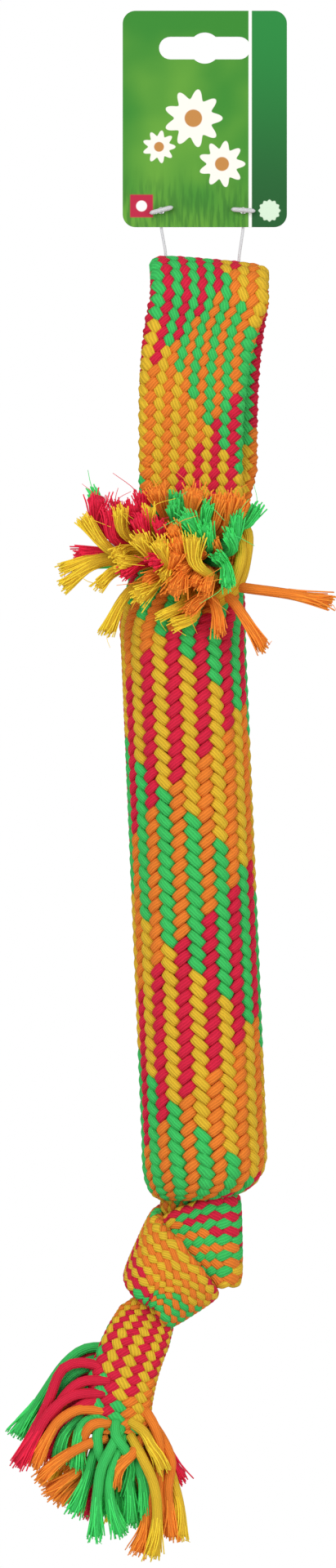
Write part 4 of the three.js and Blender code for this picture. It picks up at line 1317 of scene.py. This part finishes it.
# The tuft's yarns: x and z of the bend, x, z and y of the tip, colour and the radius of the brush
TUFT_ENDS = (
    # the upper row, from the left
    (-34, -172, -39.2, -160.8, -17, "green", 2),
    (-36.5, -174, -37.8, -163.2, -26, "red", 5),
    (-31.5, -178, -33.4, -168.5, -29, "red", 3.2),
    (-30, -172, -31.3, -164.8, -22, "red", 2.4),
    (-25.5, -172, -27.3, -165.3, -20, "red", 2.6),
    (-20.5, -169, -22.5, -162, -18, "red", 2.9),
    (-22.5, -172, -24.8, -166.5, -23, "red", 2.6),
    (-15, -167, -18, -160.6, -26, "orange", 3.8),
    (-9.5, -168, -10.6, -162, -17, "green", 3.4),
    (-9.5, -173, -11.3, -165.8, -28, "green", 3.1),
    (-4.6, -170, -3.5, -161.4, -30, "orange", 5.2),
    (-1, -174, 0.8, -166.2, -30, "green", 2.6),
    (-2, -179, -7.2, -170.6, -35, "green", 4.4),
    (1.5, -181, -0.1, -173.6, -34, "green", 3.1),
    (2.8, -174, 5.4, -163.2, -29, "orange", 3.2),
    (6.5, -174, 8.8, -162.9, -27, "orange", 3.2),
    (10, -172, 12.9, -164.6, -24, "orange", 3.1),
    (13.8, -173, 18.4, -166.3, -17, "green", 2.7),
    (9.6, -179, 11.1, -169.6, -27, "green", 2.8),
    (9.6, -181.5, 7.6, -176, -31, "green", 2.3),
    (6.6, -186.5, 7.6, -194.4, -33, "green", 3.7),
    # the middle, most of it facing the front
    (-8.5, -182, -11.4, -173.8, -36, "orange", 3.2),
    (-7, -186, -10.6, -178.6, -38, "orange", 3.4),
    (-12, -189, -9.8, -183, -37, "orange", 3),
    (-12, -188, -16.2, -179.4, -38, "yellow", 4.2),
    (-14, -180, -16.3, -172.4, -34, "red", 2.7),
    (-18.6, -176, -19.7, -167.4, -31, "yellow", 2.8),
    (-19.5, -180, -23.5, -171, -34, "red", 3.2),
    (-17.5, -185, -23.6, -177.6, -36, "yellow", 3.7),
    (-12.5, -184, -18.6, -186.4, -35, "red", 3),
    (-4, -185.5, -8.9, -189.4, -34, "orange", 3.2),
    (-1, -188.5, -4.4, -194, -33, "orange", 3),
    (1.5, -190, 0, -196.4, -35, "orange", 3),
    (4, -182, 2.5, -178, -29, "orange", 2.6),
    (6, -186, 3.6, -184, -31, "green", 2.6),
    (-2.5, -184, -1.5, -183, -30, "orange", 2.6),
    (-11, -187, -14.6, -191.8, -33, "yellow", 3),
    (-8, -189.5, -10.9, -196.8, -38, "orange", 4.5),
    # out to the left
    (-28, -176, -29.9, -168.3, -31, "yellow", 2.7),
    (-32.5, -182, -42.3, -170.8, -28, "yellow", 2.9),
    (-35, -183, -44.8, -183.5, -20, "red", 3),
    (-35, -186, -42.8, -185.3, -18, "green", 2.4),
    (-38, -186.5, -49.2, -194.4, -25, "yellow", 3.6),
    (-38, -184.5, -50, -188.4, -23, "yellow", 2),
    (-27, -182, -31, -184, -29, "yellow", 3),
    (-24, -186, -30, -186.6, -31, "yellow", 2.6),
    (-22.5, -186.5, -28.7, -190.4, -29, "red", 2.7),
    (-31.6, -189.2, -37, -194.8, -27, "yellow", 2.6),
    # and down
    (-26.8, -196.8, -34.4, -210.6, -24, "yellow", 3.3),
    (-16, -190, -21, -193, -29, "orange", 2.8),
    (-17.5, -194, -23.6, -199, -34, "yellow", 4),
    (-7, -200, -16.2, -205, -29, "yellow", 2),
    (-0.5, -197, -5.9, -203, -31, "orange", 3),
    (-3.5, -204, -11, -208.2, -28, "yellow", 2.7),
    (3.5, -201, 5.1, -211, -28, "orange", 3.3),
)

# Yarns of the tuft that go their own way: x, y and z of their points, colour and the radius of the brush
TUFT_LONG_ENDS = (
    (3, -16, -191.5, 1, -30, -190.5, -4, -36, -186, -4.5, -38, -177.5, "yellow", 4.2),
    (6, -13, -193, 12, -20, -194.6, 28, -25, -197, 43.4, -23, -199.8, "orange", 3),
    (4, -13, -195, 9.5, -23, -199.5, 14, -27, -206, 20.3, -25, -215.8, "orange", 3),
)

# Yarns that run round the tuft's head and in again: x, y and z of their points and colour
TUFT_RIM = (
    (10, -9, -171, 14.6, -15, -175, 14.4, -18, -184, 11.5, -20, -194, 6, -20, -199, 0, -14, -202, "yellow"),
    (7, -9, -173, 12, -18, -178, 12.4, -22, -185, 9.5, -23, -193, 5, -21, -197, -1, -14, -199, "yellow"),
)

# Loose yarns of the tail, from the braid to the tip: x, y and z of their points, colour and brush
TAIL_ENDS = (
    (-33, 2, -460, -42, 3, -460.8, -48.5, 3, -465.5, -57, 2, -477.5, -66, 0, -491, "green", 4.6),
    (-33, 4, -464, -41, 5, -464.5, -48, 6, -469, -55, 6, -479, -61.5, 4, -489, "green", 3),
    (-34, 3, -470, -42, 3, -470, -49, 3, -474, -55, 3, -482, -60, 2, -491, "red", 3),
    (-33, -5, -467.5, -43, -6, -464.8, -49.5, -6, -467, -55, -7, -479.5, -65.5, -7, -500.5, "red", 3.2),
    (-33, -1, -466, -42, -2, -467, -49, -2, -472, -55, -2, -481, -60, -2, -491, "green", 2.8),
    (-33, 4, -461, -41, 5, -462.5, -49, 6, -470, -57, 5, -484, -63, 3, -498, "red", 3),
    (-33, -7, -471, -43, -8, -471.4, -49, -8, -476.5, -54, -7, -486, -58, -6, -495, "red", 2.8),
    (-35, -7, -475.5, -46, -9, -476, -53.9, -10, -481.8, -59.5, -10, -490.5, -64.5, -9, -500, "red", 3.2),
    (-34, -5, -478, -42, -8, -479, -47, -6, -483, -52, -3, -492, -55, -2, -499, "red", 2.8),
    (-34, -7, -482, -44, -9, -481, -51, -10, -485, -55.5, -10, -492, -59.4, -9, -500.5, "orange", 3.2),
    (-34, -3, -483, -43, -5, -484, -48, -6, -488, -50, -6, -493, -50.5, -5, -500, "green", 2.8),
    (-34, -6, -485, -41, -8, -485, -43.8, -9, -489, -44.2, -9, -495, -44.4, -8, -502, "green", 2.8),
    (-33, -8, -486, -39, -11, -486, -42, -9, -490, -43, -5, -497, -48, -3, -504, "orange", 3),
    (-34, -8, -491, -41, -10, -493, -47, -11, -496, -52.5, -10, -500, -57.6, -9, -505.5, "orange", 3),
    (-33, -3, -489, -38, -4, -497, -43, -5, -502, -48.5, -6, -506, -55, -6, -510.8, "orange", 3.8),
    (-32, -1, -489, -38, -1, -499, -43, -2, -505, -47, -3, -509, -51, -4, -514, "orange", 3.8),
    (-34, -6, -489, -38.5, -7, -496, -40.5, -8, -503, -43, -8, -510, -46, -7, -517, "green", 3.6),
    (-29, -8, -487, -32, -11, -493, -36, -13, -501, -37.5, -12, -511, -38.4, -10, -525.4, "green", 3.4),
    (-35, -8, -484, -37.4, -10, -489, -37, -10, -495, -34, -8, -503, -35, -5, -518, "green", 3),
    (-28, -7, -490, -31, -10, -497, -33.4, -11, -504.5, -32.8, -11, -513, -29.3, -10, -524.4, "green", 3.4),
    (-31, -8, -485, -31, -11, -490, -28, -11, -494.5, -26, -7, -500, -28, -4, -510, "green", 3),
    (-22, -7, -491, -25, -11, -496, -29, -11, -499.6, -31, -10, -503, -31.8, -9, -508, "orange", 2.8),
    (-27, -4, -490, -27, -5, -500, -26.2, -6, -508, -25.8, -6, -514, -25.8, -6, -521.4, "green", 4),
    (-25, -5, -490, -23, -7, -500, -21.4, -8, -507, -20.8, -8, -512, -20.4, -8, -518.6, "green", 3.4),
    (-26, -8, -485, -21, -11, -489, -19, -12, -493, -16.5, -12, -497, -14.8, -11, -502, "yellow", 2.8),
    (-26, -8, -490, -21.5, -12, -498, -18, -13, -506, -16.6, -13, -516, -18.2, -11, -532, "yellow", 4),
    (-25, -4, -490, -21, -6, -503, -20, -8, -514, -20.6, -9, -522, -24, -9, -530.8, "orange", 4),
    (-21, -6, -481, -17.5, -9, -487, -15.8, -9, -494, -16, -8, -504, -15, -7, -522, "orange", 3.2),
    (-20, -4, -484, -14.5, -7, -492, -11.8, -8, -499, -13, -8, -509, -11.6, -7, -526, "orange", 3.6),
    (-20, -2, -487, -14, -4, -498, -10.6, -5, -508, -8.8, -5, -516, -8.4, -5, -526, "yellow", 3.8),
    (-20, 0, -485, -15, 0, -493, -12, 0, -499, -10, 0, -503, -7.6, 0, -506.6, "red", 3.4),
    (-26, 1, -488, -24, 2, -500, -22, 2, -508, -20, 2, -516, -19, 2, -525, "orange", 3.2),
    (-29, 1, -488, -33, 2, -499, -36, 2, -506, -39, 2, -512, -42, 2, -519, "red", 3.2),
    (-28, 2, -488, -30, 4, -500, -31, 4, -508, -31.5, 4, -514, -32, 3, -521, "yellow", 3.2),
    (-33, 3, -472, -43, 5, -475, -50, 5, -483, -54, 4, -491, -58, 3, -500, "orange", 3),
    (-33, 3, -480, -42, 5, -485, -47, 5, -493, -50, 4, -500, -53, 3, -507, "yellow", 3),
    (-23, 2, -487, -18, 4, -498, -15, 4, -506, -13.5, 4, -513, -13, 3, -521, "green", 3.2),
    (-31, 1, -488, -37, 2, -497, -41, 1, -504, -43, 0, -509, -45, -1, -514, "orange", 3.2),
    (-29, 0, -489, -29, 0, -499, -29.5, -1, -507, -29, -2, -512, -28.5, -2, -518, "green", 3.4),
    (-26, 0, -489, -23, 0, -498, -21, 0, -505, -19, 0, -511, -18, -1, -518, "orange", 3.4),
    (-34, 0, -476, -42, 0, -478, -49, 0, -484, -53, 0, -490, -56, 0, -497, "red", 3),
    (-31, 2, -488, -35, 4, -496, -37.5, 4, -504, -38.5, 3, -511, -39.5, 2, -519, "green", 3.4),
    (-25, 3, -488, -23.5, 4, -499, -23.4, 4, -508, -23.6, 3, -515, -24, 2, -522, "green", 3.4),
    (-22, 2, -486, -20, 4, -494, -18.5, 4, -502, -17.5, 3, -510, -17, 2, -518, "orange", 3.2),
)


def loose_yarns(rows):
    """Points, colour and brush of yarns that are given point by point"""
    return [(np.reshape(places, (-1, 3)), colour, spread) for *places, colour, spread in rows]


def tuft_route(bend_x, bend_z, x, z, y):
    """From the tuft's head by a bend out to a tip"""
    bend = np.array((bend_x, mix(TUFT_HEAD[1], y, TUFT_BEND_SHARE), bend_z))
    lead = TUFT_ROOT_SHARE * (bend - TUFT_HEAD)
    root = TUFT_HEAD + np.clip(lead, -TUFT_HEAD_HALF, TUFT_HEAD_HALF)
    return root, bend, np.array((x, y, z), float)


class CRACKLE_OT_tuft(bpy.types.Operator):
    """Fray the loop's end into the tuft in front of the slit"""

    bl_idname = "crackle.tuft"
    bl_label = "Fray the tuft"

    def execute(self, context):
        rng = np.random.default_rng(TUFT_STRAY_SEED)
        ends = [(tuft_route(*places), colour, spread) for *places, colour, spread in TUFT_ENDS]
        ends += loose_yarns(TUFT_LONG_ENDS)
        rim = [(np.reshape(places, (-1, 3)), colour) for *places, colour in TUFT_RIM]
        strays = stray_fibres(ends, TUFT_STRAYS, TUFT_DRIFT, rng)
        thickness = context.scene.crackle_braid.end_thickness / MM
        nodes = [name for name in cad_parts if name.startswith("tuft_yarn")]
        for piece in frayed_bunch("tuft", ends, thickness, TUFT_SEED, strays, rim):
            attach(piece, "stick")
            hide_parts(*nodes)
        return {"FINISHED"}


class CRACKLE_OT_fringe(bpy.types.Operator):
    """Fray the tail's end into its fringe"""

    bl_idname = "crackle.fringe"
    bl_label = "Fray the tail"

    def execute(self, context):
        rng = np.random.default_rng(TAIL_STRAY_SEED)
        ends = loose_yarns(TAIL_ENDS)
        strays = stray_fibres(ends, TAIL_STRAYS, TAIL_DRIFT, rng)
        thickness = context.scene.crackle_braid.end_thickness / MM
        nodes = [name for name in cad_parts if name.startswith("tail_yarn")]
        for piece in frayed_bunch("fringe", ends, thickness, TAIL_SEED, strays):
            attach(piece, "tail")
            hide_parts(*nodes)
        return {"FINISHED"}


def pin_paths(card_x, strap_x, lower_z, lean):
    """A pin's filament, from its bar before the card to its bar in the strap, and the two bars"""
    entry = lower_z + PIN_ENTRY
    route = [
        (card_x, PIN_BAR_Y, PIN_HOLE_Z),
        (card_x, 0, PIN_HOLE_Z),
        (card_x, PIN_BACK_Y, PIN_HOLE_Z - PIN_DROP),
        (card_x, PIN_BACK_Y, PIN_EDGE_Z),
        ((card_x + strap_x) / 2, PIN_MIDDLE_Y, (PIN_EDGE_Z + entry) / 2),
        (strap_x, 0, entry),
        (strap_x, 0, lower_z),
    ]
    paths = [(through(route, PIN_STEPS) * MM, np.full(PIN_STEPS, PIN_RADIUS) * MM, 0)]
    shares = np.linspace(-1, 1, BAR_STEPS)
    rounding = np.sqrt(np.clip(1.05 - shares**6, 0.05, 1))
    bars = ((route[0], lean, CARD_BAR_RADIUS), (route[-1], STRAP_BAR_LEAN, STRAP_BAR_RADIUS))
    for at, tilt, radius in bars:
        bar = np.array(at) + shares[:, None] * BAR_HALF_LENGTH * tilted(math.radians(tilt))
        paths.append((bar * MM, radius * rounding * MM, 0))
    return paths


class CRACKLE_OT_pins(bpy.types.Operator):
    """Make the two nylon tag pins that join the card to the handle"""

    bl_idname = "crackle.pins"
    bl_label = "Make the tag pins"

    def execute(self, context):
        nylon = plain_plastic("clear_nylon", (0.7, 0.7, 0.72), 0.3, 0.3, 0.08)
        for name, *places in PINS:
            pin = tubes(name, pin_paths(*places), PIN_ROUNDNESS)
            mesh = new_mesh(f"{name}_nylon", welded(pin, WELD, PIN_RUN))
            piece = new_object(f"{name}_nylon", mesh, [nylon])
            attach(piece, "pins")
            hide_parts(name)
        return {"FINISHED"}


def add_camera(scene, settings):
    camera = bpy.data.cameras.new("camera")
    camera.sensor_fit = "VERTICAL"
    camera.sensor_height = 24
    camera.lens = camera.sensor_height * settings.distance / settings.view_height
    camera.clip_end = 20
    eye = bpy.data.objects.new("camera", camera)
    eye.location = PICTURE_MIDDLE + Vector((0, -settings.distance, 0))
    eye.rotation_euler = (math.pi / 2, 0, 0)
    scene.collection.objects.link(eye)
    scene.camera = eye


def add_lamp(scene, name, power, place):
    """A soft square lamp that faces the toy"""
    light = bpy.data.lights.new(name, "AREA")
    light.energy = power
    light.size = LAMP_SIZE
    holder = bpy.data.objects.new(name, light)
    holder.location = place
    holder.rotation_euler = (PICTURE_MIDDLE - Vector(place)).to_track_quat("-Z", "Y").to_euler()
    scene.collection.objects.link(holder)


def seen_directly(tree):
    """1 for rays that show the background, also through clear plastic or in its gloss"""
    path = add_node(tree, "ShaderNodeLightPath")
    seen = math_node(tree, "MAXIMUM", path.outputs["Is Camera Ray"], path.outputs["Is Transmission Ray"])
    return math_node(tree, "MAXIMUM", seen, path.outputs["Is Glossy Ray"])


def floor_material(centre):
    """Pale paint that fades to the white background away from the toy"""
    material, tree, place = new_material("pale_floor")
    base = mix_colour(tree, noise(tree, place, 4), (0.86, 0.86, 0.86, 1), (0.9, 0.9, 0.9, 1))
    paint = principled(tree, {"Base Color": base, "Roughness": 0.9})
    white = add_node(tree, "ShaderNodeEmission", {"Color": WHITE, "Strength": 1.0}).outputs[0]
    away = add_node(tree, "ShaderNodeVectorMath", {0: place, 1: centre}, operation="DISTANCE")
    far = soft_step(tree, away.outputs["Value"], *FLOOR_FADE)
    faded = math_node(tree, "MULTIPLY", far, seen_directly(tree))
    both = add_node(tree, "ShaderNodeMixShader", {0: faded, 1: paint, 2: white}).outputs[0]
    finish_material(tree, both)
    return material


def add_world(scene, sky):
    """Even light all round, and a white background"""
    scene.world = bpy.data.worlds.new("studio")
    tree = node_tree(scene.world)
    inputs = {"Value": seen_directly(tree), "To Min": sky, "To Max": 1.0}
    strength = add_node(tree, "ShaderNodeMapRange", inputs).outputs[0]
    light = add_node(tree, "ShaderNodeBackground", {"Color": WHITE, "Strength": strength}).outputs[0]
    add_node(tree, "ShaderNodeOutputWorld", {0: light})


class CRACKLE_OT_stage(bpy.types.Operator):
    """Set up the camera, the floor and the light"""

    bl_idname = "crackle.stage"
    bl_label = "Set the stage"

    def execute(self, context):
        scene = context.scene
        settings = scene.crackle_stage
        add_camera(scene, settings)
        add_lamp(scene, "key", settings.key_power, KEY_PLACE)
        add_lamp(scene, "fill", settings.fill_power, FILL_PLACE)
        centre = (PICTURE_MIDDLE.x, FLOOR_Y, settings.floor_z)
        bm = bmesh.new()
        bmesh.ops.create_grid(bm, x_segments=12, y_segments=12, size=FLOOR_HALF)
        bmesh.ops.translate(bm, verts=bm.verts, vec=centre)
        floor = new_object("floor", new_mesh("floor", bm), [floor_material(centre)])
        add_world(scene, settings.sky)
        scene.view_settings.view_transform = "Standard"
        return {"FINISHED"}


class CRACKLE_PT_panel(bpy.types.Panel):
    """The toy's sizes and colours, and a button for each group of pieces"""

    bl_label = "Crackle stick"
    bl_idname = "CRACKLE_PT_panel"
    bl_space_type = "VIEW_3D"
    bl_region_type = "UI"
    bl_category = "Crackle stick"

    def draw(self, context):
        for name, group in SETTINGS.items():
            for field in group.__annotations__:
                self.layout.prop(getattr(context.scene, name), field)
        for operator in OPERATORS:
            self.layout.operator(operator.bl_idname)


SETTINGS = {
    "crackle_yarn": YarnColours,
    "crackle_braid": BraidSizes,
    "crackle_card": CardPrint,
    "crackle_stage": StageSettings,
}
OPERATORS = (
    CRACKLE_OT_stage,
    CRACKLE_OT_materials,
    CRACKLE_OT_handle,
    CRACKLE_OT_stick,
    CRACKLE_OT_knot,
    CRACKLE_OT_tuft,
    CRACKLE_OT_fringe,
    CRACKLE_OT_pins,
)
CLASSES = (*SETTINGS.values(), *OPERATORS, CRACKLE_PT_panel)


def register():
    for item in CLASSES:
        bpy.utils.register_class(item)
    for name, group in SETTINGS.items():
        setattr(bpy.types.Scene, name, PointerProperty(type=group))


def unregister():
    for name in SETTINGS:
        delattr(bpy.types.Scene, name)
    for item in reversed(CLASSES):
        bpy.utils.unregister_class(item)


def main():
    register()
    bpy.ops.crackle.stage()
    bpy.ops.crackle.materials()
    bpy.ops.crackle.handle()
    bpy.ops.crackle.stick()
    bpy.ops.crackle.knot()
    bpy.ops.crackle.tuft()
    bpy.ops.crackle.fringe()
    bpy.ops.crackle.pins()


if __name__ == "__main__":
    main()
